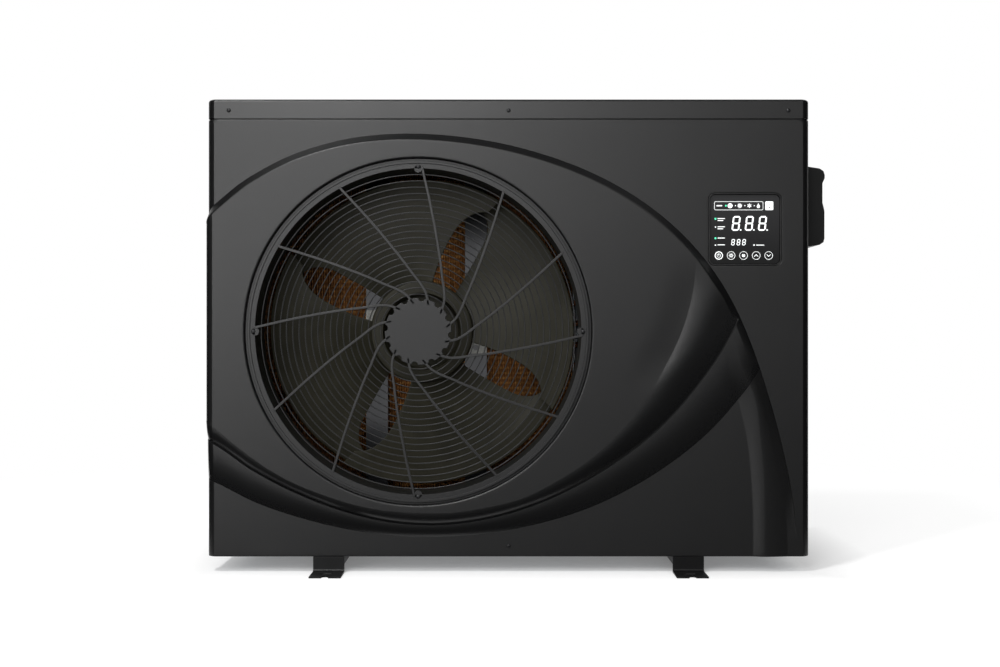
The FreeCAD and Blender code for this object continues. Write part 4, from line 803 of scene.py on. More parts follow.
# ---------------------------------------------------------------- front panel
class Line:
    """A smooth line through a few points of the front panel, across and up."""

    BATCH = 1024

    def __init__(self, points: Sequence[Place], step: float = 0.002) -> None:
        """Lay a curve through the points and keep close places on it.

        Args:
            points: The points, each across and up.
            step: How far apart the places are.
        """
        knots = np.array(points)
        along = np.concatenate([[0.0], np.cumsum(np.hypot(*np.diff(knots, axis=0).T))])
        slopes = np.gradient(knots, along, axis=0)
        wanted = np.linspace(0.0, along[-1], int(along[-1] / step) + 2)
        i = np.clip(np.searchsorted(along, wanted, "right") - 1, 0, len(knots) - 2)
        run = (along[i + 1] - along[i])[:, None]
        t = (wanted - along[i])[:, None] / run
        self.places = (
            knots[i] * (1 + 2 * t) * (1 - t) ** 2 + knots[i + 1] * t ** 2 * (3 - 2 * t)
            + slopes[i] * run * t * (1 - t) ** 2 - slopes[i + 1] * run * t ** 2 * (1 - t))

    def side(self, places: np.ndarray) -> np.ndarray:
        """Measure places from the line.

        Args:
            places: One row for each place.

        Returns:
            How far each is from the line, positive on its upper side.
        """
        starts, runs = self.places[:-1], np.diff(self.places, axis=0)
        sizes = (runs ** 2).sum(axis=1)
        result = np.zeros(len(places))
        for first in range(0, len(places), self.BATCH):
            some = places[first:first + self.BATCH]
            offset = some[:, None] - starts[None]
            share = np.clip((offset * runs).sum(axis=2) / sizes, 0.0, 1.0)
            gap = offset - share[..., None] * runs
            far = np.hypot(gap[..., 0], gap[..., 1])
            best = far.argmin(axis=1)
            row = np.arange(len(some))
            cross = runs[best, 0] * gap[row, best, 1] - runs[best, 1] * gap[row, best, 0]
            result[first:first + self.BATCH] = far[row, best] * np.sign(cross)
        return result

    def shifted(self, distance: float | np.ndarray) -> np.ndarray:
        """Move the line's places to its upper side.

        Args:
            distance: How far, or how far for each place.

        Returns:
            One row for each place.
        """
        run = np.gradient(self.places, axis=0)
        run /= np.hypot(run[:, 0], run[:, 1])[:, None]
        return self.places + np.stack([-run[:, 1] * distance, run[:, 0] * distance], axis=1)

    def across_at(self, up: np.ndarray) -> np.ndarray:
        """Return how far across a falling line is at each height."""
        order = np.argsort(self.places[:, 1])
        return np.interp(up, self.places[order, 1], self.places[order, 0])


# Each line of the panel: its points are across from the middle and up from the lower edge.
ARCH = ((-0.4721, 0.4969), (-0.4601, 0.5107), (-0.4481, 0.5227), (-0.4331, 0.5359), (-0.4031, 0.5604),
        (-0.3655, 0.5835), (-0.3280, 0.6020), (-0.2830, 0.6174), (-0.2379, 0.6280), (-0.1929, 0.6335),
        (-0.1479, 0.6352), (-0.1028, 0.6334), (-0.0578, 0.6286), (-0.0128, 0.6209), (0.0323, 0.6099),
        (0.0773, 0.5957), (0.1223, 0.5777), (0.1674, 0.5547), (0.2124, 0.5256), (0.2499, 0.4949),
        (0.2887, 0.4541), (0.3220, 0.4076), (0.3463, 0.3625), (0.3652, 0.3175), (0.3809, 0.2725),
        (0.3947, 0.2274), (0.4070, 0.1824), (0.4175, 0.1374), (0.4259, 0.0923), (0.4310, 0.0473),
        (0.4332, 0.0098), (0.4337, -0.0278))
PLATEAU_EDGE = ((-0.4900, 0.2260), (-0.4451, 0.1989), (-0.3986, 0.1614), (-0.3355, 0.1193), (-0.2710, 0.0923),
                (-0.2064, 0.0743), (-0.1434, 0.0677), (-0.0788, 0.0683), (-0.0308, 0.0758), (0.0173, 0.0878),
                (0.0773, 0.1178), (0.1374, 0.1599), (0.1974, 0.2259), (0.2349, 0.2875), (0.2605, 0.3430),
                (0.2755, 0.4001), (0.2800, 0.4421), (0.2830, 0.4900))
UPPER_CREASE = ((-0.4900, 0.1900), (-0.4436, 0.1714), (-0.3822, 0.1302), (-0.3165, 0.0962), (-0.2472, 0.0698),
                (-0.1755, 0.0530), (-0.1021, 0.0492), (-0.0293, 0.0587), (0.0410, 0.0797), (0.1078, 0.1105),
                (0.1708, 0.1498), (0.2286, 0.1965), (0.2783, 0.2518), (0.3208, 0.3125), (0.3382, 0.3453),
                (0.3540, 0.3790))
LOWER_CREASE = ((-0.4900, 0.1300), (-0.4435, 0.1127), (-0.3786, 0.0808), (-0.3101, 0.0575), (-0.2399, 0.0407),
                (-0.1681, 0.0312), (-0.0961, 0.0300), (-0.0245, 0.0359), (0.0462, 0.0497), (0.1147, 0.0707),
                (0.1801, 0.1009), (0.2415, 0.1389), (0.2977, 0.1843), (0.3460, 0.2378), (0.3675, 0.2668),
                (0.3950, 0.3060))
RIDGE_FOOT = ((0.3260, 0.3300), (0.3306, 0.2785), (0.3454, 0.2325), (0.3586, 0.1734), (0.3660, 0.0938),
              (0.3676, -0.0200))
RIDGE_CREST = ((0.3340, 0.3420), (0.3475, 0.2890), (0.3685, 0.2394), (0.3776, 0.1749), (0.3821, 0.1269),
               (0.3836, 0.0548), (0.3836, -0.0200))


def corner_bend(share: np.ndarray, size: float, lead: float) -> tuple[np.ndarray, np.ndarray]:
    """Return how far out and back a bent corner runs at each share of its way round.

    Args:
        share: Shares of the way round, from the front to the side.
        size: How far the whole corner runs, out and back.
        lead: The angle in radians of the fold that starts and ends it.

    Returns:
        The way out and the way back at each share.
    """
    angle = lead + (math.pi / 2 - 2 * lead) * share
    radius = size / (math.cos(lead) - math.sin(lead))
    return radius * (np.sin(angle) - math.sin(lead)), radius * (math.cos(lead) - np.cos(angle))


def eased_step(share: np.ndarray) -> np.ndarray:
    """Return a share held from 0 to 1 and eased at both ends."""
    held = np.clip(share, 0.0, 1.0)
    return held * held * (3.0 - 2.0 * held)


CORNER = 0.010
CORNER_LEAD = math.radians(22.0)
CORNER_WRAP = 0.0020


@dataclass
class FrontPanel:
    """The moulded front: an arched plateau, two sweeping bands and a pointed ridge.

    Its shape is a sheet that rises from a flat face.  Places on the sheet are across, which
    runs round the corners and along the side returns, and up from the lower edge.
    """

    wall: float = 0.003  # the moulding's thickness
    corner: float = CORNER
    lead: float = CORNER_LEAD
    wrap: float = CORNER_WRAP
    drop: float = 0.0098  # from the plateau to the foot of the upper band
    middle: float = 0.0070  # how proud the lower band's head is
    band_curve: float = 2.1  # how hollow both bands are, 1 being straight
    fold: float = 0.0012  # how wide the step between the two bands is
    arch_bend: float = 0.72  # the share of the arch's slope that is straight
    arch_slope: float = 0.0122  # how wide the slope is at the top
    arch_spread: float = 0.0058  # how much wider it is lower down, on the right
    arch_step: float = 0.0004  # how far inside the arch its first row of corners is
    ridge: float = 0.0045
    ridge_curve: float = 1.5
    groove: float = 0.0030  # how deep the panel is beyond the ridge
    deepest: float = 0.004  # the most that it is sunk anywhere
    bulge: float = 0.011  # the roll of the upper band on the right
    dip: float = 0.0018  # the dish of the plateau beside it
    rim: float = 0.003
    edge: float = 0.0015
    window_rim: float = 0.0008
    window_round: float = 0.010
    window_inset: float = 0.005
    clearance: float = 0.004
    seam: float = 0.0015
    fine: float = 0.0032  # how far apart loose places are where the sheet bends
    coarse: float = 0.011
    tongue: Spot = (0.012, 0.0030, 0.0055)  # in from the side, and its two faces
    lap: float = 0.008  # how far the tongue and the liners reach down behind the sheet
    liner: Place = (0.4300, 0.4465)
    liner_faces: Place = (0.0095, 0.0125)
    liner_top: float = 0.006
    lines: dict[str, Line] = field(default_factory=dict)

    def __post_init__(self) -> None:
        """Take the panel's sizes from the frame and lay its lines."""
        low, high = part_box("front_panel")
        lid_low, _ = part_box("top_cover")
        self.half = high.x + self.wrap
        self.side_band = -low.x - self.half
        self.front = lid_low.y
        self.back = high.y
        self.plateau = self.front - low.y
        self.bottom = low.z
        self.height = lid_low.z - self.seam - low.z
        self.tongue_top = high.z
        grille_low, grille_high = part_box("fan_grille")
        self.fan = (grille_low + grille_high) / 2
        self.opening = (grille_high.x - grille_low.x) / 2 + self.clearance
        self.window_low, self.window_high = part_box("display_bezel")
        self.flat = self.half - self.corner
        self.arc = self.corner * (math.pi / 2 - 2 * self.lead) / (math.cos(self.lead) - math.sin(self.lead))
        self.reach = self.flat + self.arc + (self.back - self.front - self.corner)
        self.lines = {"arch": Line(ARCH), "plateau": Line(PLATEAU_EDGE), "upper": Line(UPPER_CREASE),
                      "lower": Line(LOWER_CREASE), "foot": Line(RIDGE_FOOT), "crest": Line(RIDGE_CREST)}

    def window(self, grown: float) -> list[Place]:
        """Outline the display window.

        Args:
            grown: The margin around it.

        Returns:
            The corners, each across and up.
        """
        inset = self.window_inset - grown
        low = (self.window_low.x + inset, self.window_low.z - self.bottom + inset)
        high = (self.window_high.x - inset, self.window_high.z - self.bottom - inset)
        return rounded_outline(low, high, self.window_round + grown, 8)

    def from_window(self, places: np.ndarray) -> np.ndarray:
        """Measure places from the display window.

        Args:
            places: One row for each place.

        Returns:
            How far each is outside the window, negative within.
        """
        outline = np.array(self.window(0.0))
        middle = (outline.min(axis=0) + outline.max(axis=0)) / 2
        half = (outline.max(axis=0) - outline.min(axis=0)) / 2 - self.window_round
        gap = np.abs(places - middle) - half
        return np.hypot(*np.maximum(gap, 0.0).T) + np.minimum(gap.max(axis=1), 0.0) - self.window_round

    def from_opening(self, places: np.ndarray) -> np.ndarray:
        """Return how far each place is outside the fan opening."""
        return np.hypot(places[:, 0] - self.fan.x, places[:, 1] - self.fan.z + self.bottom) - self.opening

    def arch_width(self, up: np.ndarray) -> np.ndarray:
        """Return how wide the slope inside the arch is at each height: it spreads on the way down."""
        return self.arch_slope + self.arch_spread * np.clip((0.46 - up) / 0.19, 0.0, 1.0)

    def bands(self, places: np.ndarray) -> np.ndarray:
        """Shape the plateau, the two bands below it and the step between them.

        Args:
            places: One row for each place.

        Returns:
            How far the sheet stands out of the flat face, before the arch ends it.
        """
        plateau, upper, lower = (self.lines[name].side(places) for name in ("plateau", "upper", "lower"))
        across, up = places[:, 0], places[:, 1]
        right = eased_step((up - 0.24) / 0.07) * eased_step((0.46 - up) / 0.08) * eased_step(across / 0.1)
        top = self.plateau - self.dip * right * eased_step(1.0 - plateau / 0.05)
        share = np.clip(-plateau / np.maximum(upper - plateau, TINY), 0.0, 1.0)
        top_band = (self.plateau - self.dip * right * (1.0 - share) ** 2
                    - self.drop * share ** self.band_curve
                    + self.bulge * right * share * (1.0 - share) ** 2)
        low_edge = self.plateau - self.drop
        step = low_edge + (self.middle - low_edge) * np.clip(-upper / self.fold, 0.0, 1.0)
        base = self.ridge_rise(places)
        share = np.clip(-(upper + self.fold) / np.maximum(lower - upper - self.fold, TINY), 0.0, 1.0)
        low_band = self.middle + (base - self.middle) * share ** self.band_curve
        height = np.select([plateau > 0, upper > 0, upper > -self.fold, lower > 0],
                           [top, top_band, step, low_band], base)
        return np.maximum(height, -self.deepest * eased_step((up - 0.024) / 0.12))

    def rise(self, places: np.ndarray) -> np.ndarray:
        """Shape the whole sheet, with the arch's slope and the rounded rims.

        Args:
            places: One row for each place.

        Returns:
            How far the sheet stands out of the flat face.
        """
        up = places[:, 1]
        inside = -self.lines["arch"].side(places)
        share = np.clip(inside / self.arch_width(up), 0.0, 1.0)
        bend = self.arch_bend
        wall = np.where(share < bend, share, share - (share - bend) ** 2 / (2 * (1 - bend))) * 2 / (1 + bend)
        height = np.where(inside > 1e-5, np.minimum(self.bands(places), self.plateau * wall), 0.0)
        for gap, radius in ((self.from_opening(places), self.rim),
                            (self.from_window(places), self.window_rim),
                            (up, self.edge), (self.height - up, self.edge)):
            short = np.clip(1.0 - gap / radius, 0.0, 1.0)
            height = height - radius * (1.0 - np.sqrt(1.0 - short ** 2))
        return height

    def ridge_rise(self, places: np.ndarray) -> np.ndarray:
        """Shape the pointed ridge and the groove beyond it.

        Args:
            places: One row for each place.

        Returns:
            How far they stand out of the flat face, which is negative in the groove.
        """
        across, up = places[:, 0], places[:, 1]
        foot, crest, end = (self.lines[name].across_at(up) for name in ("foot", "crest", "arch"))
        climb = np.clip((across - foot) / (crest - foot), 0.0, 1.0)
        drop = np.clip((across - crest) / (end - crest), 0.0, 1.0)
        curve = self.ridge_curve
        profile = self.ridge * (1.0 - (1.0 - climb) ** curve) - (self.ridge + self.groove) * drop ** curve
        return profile * eased_step((0.37 - up) / 0.04)

    def folded(self, across: np.ndarray, proud: float, side: float) -> np.ndarray:
        """Return x and y of the bent sheet's outer face at each place across.

        Args:
            across: Places across the sheet.
            proud: How far the face lies in front of the flat one.
            side: How far the side return lies outside the casing's side.

        Returns:
            One row of x and y for each place.
        """
        far = np.abs(across) - self.flat
        length = self.reach - self.flat
        full = side + self.arc + (self.back - self.front + proud - self.corner)
        run = np.clip(far / length, 0.0, 1.0) * full
        out, back = corner_bend(np.clip((run - side) / self.arc, 0.0, 1.0), self.corner, self.lead)
        x = self.flat + np.minimum(run, side) + np.where(run > side, out, 0.0)
        y = self.front - proud + np.where(run > side, back, 0.0) + np.maximum(run - side - self.arc, 0.0)
        x = np.where(far > 0, x, np.abs(across)) * np.sign(across)
        return np.stack([x, np.where(far > 0, y, self.front - proud)], axis=1)

    def places(self) -> tuple[np.ndarray, list[tuple[int, int]], int]:
        """Lay out the sheet.

        Returns:
            Its places, the edges that hold its lines, and how many of those edges, the first ones, are sharp.
        """
        spots: list[np.ndarray] = []
        edges: list[tuple[int, int]] = []
        count = 0

        def add(run: np.ndarray, closed: bool = False) -> None:
            """Keep a run of places, with edges along it.

            Args:
                run: One row for each place.
                closed: Whether the last place joins the first.
            """
            nonlocal count
            spots.append(run)
            edges.extend((count + i, count + i + 1) for i in range(len(run) - 1))
            if closed:
                edges.append((count + len(run) - 1, count))
            count += len(run)

        arch = self.lines["arch"]
        for name in ("upper", "lower", "plateau"):
            add(self.lines[name].places)
        for name in ("upper", "lower"):
            add(self.lines[name].shifted(-self.fold))
        add(arch.places)
        add(arch.shifted(-self.arch_step))
        column = np.arange(0.0, self.height, 0.006)
        for across in (self.flat, self.flat + self.arc):
            for sign in (-1, 1):
                add(np.stack([np.full(len(column), sign * across), column], axis=1))
        sharp = len(edges)
        for name in ("foot", "crest"):
            add(self.lines[name].places)
        for share in (0.3, self.arch_bend, 0.79, 0.86, 0.93, 1.0):
            add(arch.shifted(-self.arch_width(arch.places[:, 1]) * share))
        middle = (self.fan.x, self.fan.z - self.bottom)
        for turn in (90.0, 65.0, 40.0, 18.0, 0.0):
            grown = self.rim * (1.0 - math.sin(math.radians(turn)))
            add(np.array(arc(middle, self.opening + grown, 0.0, 358.5, 239)), closed=True)
        for grown in (0.0, 0.0003, 0.0008):
            add(np.array(self.window(grown)), closed=True)
        for up in (0.0, 0.0002, 0.0007, self.edge):
            for level in (up, self.height - up):
                row = np.linspace(-self.reach, self.reach, 131)
                add(np.stack([row, np.full(len(row), level)], axis=1))
        for across in (self.reach, *(self.flat + self.arc * bend / 5 for bend in range(1, 5))):
            for sign in (-1, 1):
                add(np.stack([np.full(len(column), sign * across), column], axis=1))
        spots.append(self.filler())
        return np.concatenate(spots), edges, sharp

    def filler(self) -> np.ndarray:
        """Scatter loose places between the lines, close together where the sheet bends.

        Returns:
            One row for each place, clear of the lines, the opening and the window.
        """
        kept = []
        for pitch, near in ((self.fine, True), (self.coarse, False)):
            across, up = np.meshgrid(np.arange(-self.flat, self.flat, pitch),
                                     np.arange(0.004, self.height - 0.003, pitch * 0.87))
            across = across + (np.arange(len(up))[:, None] % 2) * pitch / 2
            grid = np.stack([across.ravel(), up.ravel()], axis=1)
            grid = grid[(np.abs(grid[:, 0]) < self.flat - 0.001)
                        & (self.from_opening(grid) > self.rim + 0.001)
                        & (self.from_window(grid) > 0.002)]
            sides = np.stack([line.side(grid) for line in self.lines.values()], axis=1)
            inside = -sides[:, 0]
            clear = (np.abs(sides[:, 1:4] + self.fold / 2).min(axis=1) > self.fold / 2 + 0.001) & (
                (inside < -0.001) | (inside > self.arch_width(grid[:, 1]) + 0.001))
            ridge = (sides[:, 4] > -0.004) & (grid[:, 1] < 0.34)
            banded = (sides[:, 1] < 0.006) & (sides[:, 3] > -0.006)
            bent = (inside > -0.002) & (banded | ridge | (inside < 0.024))
            kept.append(grid[clear & (bent if near else ~bent)])
        return np.concatenate(kept)

    def sheet(self) -> bpy.types.Mesh:
        """Make the panel's outer face, bent round the corners and along the rims.

        Returns:
            The face's mesh.
        """
        spots, edges, sharp_edges = self.places()
        made = delaunay_2d_cdt([Vector(spot) for spot in spots], edges, [], 0, 1e-7, True)
        places = np.array([tuple(place) for place in made[0]])
        faces = np.array(made[2])
        middles = places[faces].mean(axis=1)
        inside = ((np.abs(middles[:, 0]) < self.reach) & (middles[:, 1] > 0) & (middles[:, 1] < self.height)
                  & (self.from_opening(middles) > 0) & (self.from_window(middles) > 0))
        height = self.rise(places)
        flat = self.folded(places[:, 0], 0.0, 0.0)
        proud = self.folded(places[:, 0], self.plateau, self.side_band)
        share = (height / self.plateau)[:, None]
        # The right side has no band along it: only the groove runs round its corner.
        share = np.where((places[:, 0] > self.flat)[:, None], np.minimum(share, 0.0), share)
        bent = flat * (1 - share) + proud * share
        spots = np.column_stack([bent[:, 0], bent[:, 1], places[:, 1] + self.bottom])
        mesh = bpy.data.meshes.new("front_shell")
        mesh.from_pydata(spots.tolist(), [], faces[inside].tolist())
        creases = {tuple(sorted(edge)) for edge, source in zip(made[1], made[4])
                   if any(i < sharp_edges for i in source)}
        shell = bmesh.new()
        shell.from_mesh(mesh)
        for edge in shell.edges:
            edge.smooth = tuple(sorted(v.index for v in edge.verts)) not in creases
        for face in shell.faces:
            face.smooth = True
        bmesh.ops.delete(shell, geom=[v for v in shell.verts if not v.link_faces], context="VERTS")
        self.deepen(shell)
        shell.to_mesh(mesh)
        shell.free()
        self.mark(mesh)
        return mesh

    def build(self) -> Piece:
        """Give the sheet its wall, with the tongue that the lid is screwed to and a liner at each corner.

        Returns:
            The finished panel.
        """
        piece = bpy.data.objects.new("front_moulding", self.sheet())
        bpy.context.scene.collection.objects.link(piece)
        worked(piece, "SOLIDIFY", thickness=self.wall, offset=-1.0, use_rim=True)
        worked(piece, "WEIGHTED_NORMAL", keep_sharp=True)
        seam = self.bottom + self.height
        foot = seam - self.lap
        inset, near, far = self.tongue
        parts = [piece, block("tongue", (inset - self.half, self.front + near, foot),
                              (self.half - inset, self.front + far, self.tongue_top))]
        near, far = self.liner_faces
        for first, last in (self.liner, (-self.liner[1], -self.liner[0])):
            parts.append(block("liner", (first, self.front + near, foot),
                               (last, self.front + far, seam + self.liner_top)))
        return dressed(joined("front_moulding", parts), "front_moulding", nodes=["front_panel"])

    def mark(self, mesh: bpy.types.Mesh) -> None:
        """Keep at each face corner how far down its band it lies, for the finish.

        Args:
            mesh: The sheet's mesh, in place.
        """
        spots = np.empty(len(mesh.vertices) * 3)
        mesh.vertices.foreach_get("co", spots)
        middles = np.empty(len(mesh.polygons) * 3)
        mesh.polygons.foreach_get("center", middles)
        corners = np.empty(len(mesh.loops), dtype=int)
        mesh.loops.foreach_get("vertex_index", corners)
        sizes = np.empty(len(mesh.polygons), dtype=int)
        mesh.polygons.foreach_get("loop_total", sizes)
        shift = np.array([0.0, self.bottom])
        spots, middles = (values.reshape(-1, 3)[:, [0, 2]] - shift for values in (spots, middles))
        names = ("arch", "plateau", "upper", "lower")
        at = {name: self.lines[name].side(spots) for name in names}
        near = {name: np.repeat(self.lines[name].side(middles), sizes) for name in names}
        top = np.clip(-at["plateau"] / np.maximum(at["upper"] - at["plateau"], TINY), 0.0, 1.0)[corners]
        low = np.clip(-at["upper"] / np.maximum(at["lower"] - at["upper"], TINY), 0.0, 1.0)[corners]
        share = np.select([near["arch"] > 0, near["plateau"] > 0, near["upper"] > 0, near["lower"] > 0],
                          [0.0, 0.0, top, low], 0.0)
        sleek = mesh.attributes.new(SLEEK, "FLOAT", "CORNER")
        sleek.data.foreach_set("value", np.sqrt(share).astype(np.float32))

    def deepen(self, shell: bmesh.types.BMesh) -> None:
        """Draw the rims of the fan opening and the window back towards the inside.

        Args:
            shell: The sheet, in place, with both holes open.
        """
        for depth, measure in ((self.front + self.wall, self.from_opening),
                               (self.front + 0.002, self.from_window)):
            rim = []
            for edge in shell.edges:
                if edge.is_boundary:
                    spots = np.array([(v.co.x, v.co.z - self.bottom) for v in edge.verts])
                    if np.abs(measure(spots)).max() < 1e-5:
                        rim.append(edge)
            moved = bmesh.ops.extrude_edge_only(shell, edges=rim)["geom"]
            for part in moved:
                if isinstance(part, bmesh.types.BMVert):
                    part.co.y = depth
        bmesh.ops.recalc_face_normals(shell, faces=shell.faces)


# ---------------------------------------------------------------- screws
def loose(node: str) -> list[tuple[Vector, Vector]]:
    """Find the separate solids of a CAD node.

    Args:
        node: The CAD node.

    Returns:
        The two opposite corners of each solid, in order of place.
    """
    only(cleaned(node))
    bpy.ops.object.mode_set(mode="EDIT")
    bpy.ops.mesh.select_all(action="SELECT")
    bpy.ops.mesh.separate(type="LOOSE")
    bpy.ops.object.mode_set(mode="OBJECT")
    corners = []
    for part in list(bpy.context.selected_objects):
        spots = np.array([corner.co for corner in part.data.vertices])
        corners.append((Vector(spots.min(axis=0)), Vector(spots.max(axis=0))))
        bpy.data.objects.remove(part)
    return sorted(corners, key=lambda pair: tuple(round(value, 4) for value in pair[0]))


@dataclass
class Screws:
    """Pan-head screws with a cross recess, one for each solid of a CAD node."""

    node: str
    head: float = 0.0022  # how high the head is on a screw of the nominal radius
    nominal: float = 0.005
    shank: float = 0.42
    head_share: float = 0.66
    first_turn: float = 0.7
    next_turn: float = 1.9

    def pattern(self) -> Piece:
        """Model a screw whose head has a radius of one and faces -Y from the origin.

        Returns:
            The screw.
        """
        head = self.head / self.nominal
        profile = [(0.0, -head), (0.45, -0.94 * head), (0.75, -0.75 * head), (0.94, -0.42 * head),
                   (1.0, -0.12 * head), (1.0, 0.0), (self.shank, 0.0), (self.shank, 1.0), (0.0, 1.0)]
        piece = turned("screw", profile, Vector((0, 0, 0)), 28)
        for wide, tall in ((0.52, 0.11), (0.11, 0.52)):
            cutter = block("cutter", (-wide, -2 * head, -tall), (wide, -0.35 * head, tall))
            worked(piece, "BOOLEAN", operation="DIFFERENCE", object=cutter, solver="EXACT")
            bpy.data.objects.remove(cutter)
        return smoothed(piece, 40.0)

    def build(self) -> Piece:
        """Put a screw in place of each CAD one, its head on the outer side.

        Returns:
            The screws as one piece.
        """
        middle = (cad_box[0] + cad_box[1]) / 2
        pattern = self.pattern()
        made = []
        for low, high in loose(self.node):
            size = high - low
            axis = max(range(3), key=lambda i: size[i])
            centre = (low + high) / 2
            sign = -1.0 if centre[axis] < middle[axis] or self.node == "grille_screws" else 1.0
            radius = self.head_share * max(size[i] for i in range(3) if i != axis) / 2
            out = Vector([sign if i == axis else 0.0 for i in range(3)])
            tip = centre + out * size[axis] / 2
            seat = tip - out * self.head / self.nominal * radius
            turn = Vector((0, -1, 0)).rotation_difference(out).to_matrix().to_4x4()
            scale = Matrix.Diagonal((radius, radius, radius, 1.0))
            spin = Matrix.Rotation(self.first_turn + self.next_turn * len(made), 4, "Y")
            made.append(copied(pattern, Matrix.Translation(seat) @ turn @ spin @ scale))
        bpy.data.objects.remove(pattern)
        return dressed(joined(self.node + "_finished", made), "screw_steel", nodes=[self.node])


# ---------------------------------------------------------------- grille
@dataclass
class FanGrille:
    """The round guard: a rim, thin rings, twelve swept spokes and a notched plate in the middle."""

    ring: float = 0.0018
    pitch: float = 0.0094
    first: float = 0.2355  # the outermost ring's outer radius
    lip: float = 0.004
    flat: float = 0.0115
    step: float = 0.0015  # how far the flat band lies behind the lip
    soft: float = 0.0006
    spokes: int = 12
    spoke: float = 0.0038
    spoke_depth: float = 0.0025
    start: float = -1.3  # where the first spoke leaves the rim, in degrees from the right
    hub: float = 0.050
    notch: float = 0.0045
    notch_start: float = -36.0
    boss: float = 0.0062
    boss_at: float = 0.24325
    spoke_ends: Spot = (0.2465, 0.2435, 0.050)  # at the rim, inside it, at the plate
    # A spoke's points: the share of the way to the plate, and the turn in degrees.
    sweep: tuple[Place, ...] = (
        (0.0, 0.0), (0.31, -4.9), (0.56, -11.1), (0.785, -21.5), (0.966, -41.2), (1.04, -50.0))

    def __post_init__(self) -> None:
        """Take the grille's place and depth from the frame."""
        self.low, self.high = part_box("fan_grille")
        self.centre = (self.low + self.high) / 2
        self.radius = (self.high.x - self.low.x) / 2

    def rim(self) -> Piece:
        """Turn the outer rim: a proud lip and a flat band inside it.

        Returns:
            The rim.
        """
        front, back = self.low.y, self.high.y
        step = front + self.step
        outer, lip, inner, soft = self.radius, self.radius - self.lip, self.radius - self.flat, self.soft
        profile = [(outer, back), (outer, front + soft), (outer - soft, front), (lip + soft, front),
                   (lip, front + soft), (lip, step), (inner + 0.0005, step), (inner, step + 0.0005),
                   (inner, back)]
        return smoothed(turned("rim", profile, self.centre, 192), 28.0)

    def rings(self) -> list[Piece]:
        """Bend the thin guard rings.

        Returns:
            The rings.
        """
        made = []
        radius = self.first
        while radius > self.hub:
            bpy.ops.mesh.primitive_torus_add(
                major_segments=160, minor_segments=8, major_radius=radius - self.ring / 2,
                minor_radius=self.ring / 2, location=(self.centre.x, self.high.y - 0.001, self.centre.z),
                rotation=(math.pi / 2, 0.0, 0.0))
            made.append(smoothed(settled(bpy.context.object, "ring"), 60.0))
            radius -= self.pitch
        return made

    def spoke_line(self) -> list[Place]:
        """Lay out the first spoke's centre line.

        Returns:
            Its places, across and up from the grille's centre.
        """
        outer, inner, middle = self.spoke_ends
        line = []
        for share, turn in self.sweep:
            radius = outer if share == 0 else inner - (inner - middle) * share
            angle = math.radians(turn + self.start)
            line.append((radius * math.cos(angle), radius * math.sin(angle)))
        return line

    def spoke_piece(self) -> Piece:
        """Cut one spoke, swept towards the middle.

        Returns:
            The spoke.
        """
        line = Line(self.spoke_line(), 0.004)
        sides = np.concatenate([line.shifted(self.spoke / 2), line.shifted(-self.spoke / 2)[::-1]])
        outline = [(x + self.centre.x, z + self.centre.z) for x, z in sides]
        spoke = outlined("spoke", outline, self.low.y + 0.0005, self.spoke_depth)
        return smoothed(eased(spoke, 0.0007, 2, 50.0), 40.0)

    def plate(self) -> Piece:
        """Cut the middle plate, notched where the spokes leave it.

        Returns:
            The plate.
        """
        half = math.degrees(2.0 * math.asin(self.notch / self.hub / 2.0))
        middle = (self.centre.x, self.centre.z)
        outline: list[Place] = []
        for i in range(self.spokes):
            at = self.notch_start + 360.0 / self.spokes * i
            cut = arc(middle, self.hub, at, at, 1)[0]
            outline += arc(cut, self.notch, at - 90.0 - half / 2, at - 270.0 + half / 2, 12)
            outline += arc(middle, self.hub, at + half, at + 360.0 / self.spokes - half, 7)[1:-1]
        plate = outlined("plate", outline, self.low.y + 0.0005, self.high.y - self.low.y - 0.0005)
        return smoothed(eased(plate, 0.0009, 3, 50.0), 30.0)

    def bosses(self) -> list[Piece]:
        """Turn the four screw bosses at the rim.

        Returns:
            The bosses.
        """
        seat = self.centre + Vector((self.boss_at, 0.0, 0.0))
        face, soft = self.low.y + self.step, self.soft
        profile = [(0.0, self.high.y), (0.0, face), (self.boss - soft, face), (self.boss, face + soft),
                   (self.boss, self.high.y)]
        boss = smoothed(turned("boss", profile, seat, 40), 30.0)
        return around(boss, self.centre, 4)

    def build(self) -> Piece:
        """Make the whole guard as one moulding.

        Returns:
            The finished guard.
        """
        spokes = around(self.spoke_piece(), self.centre, self.spokes)
        parts = [self.rim(), self.plate()] + self.rings() + spokes + self.bosses()
        return dressed(joined("fan_guard", parts), "grille_plastic", nodes=["fan_grille"])


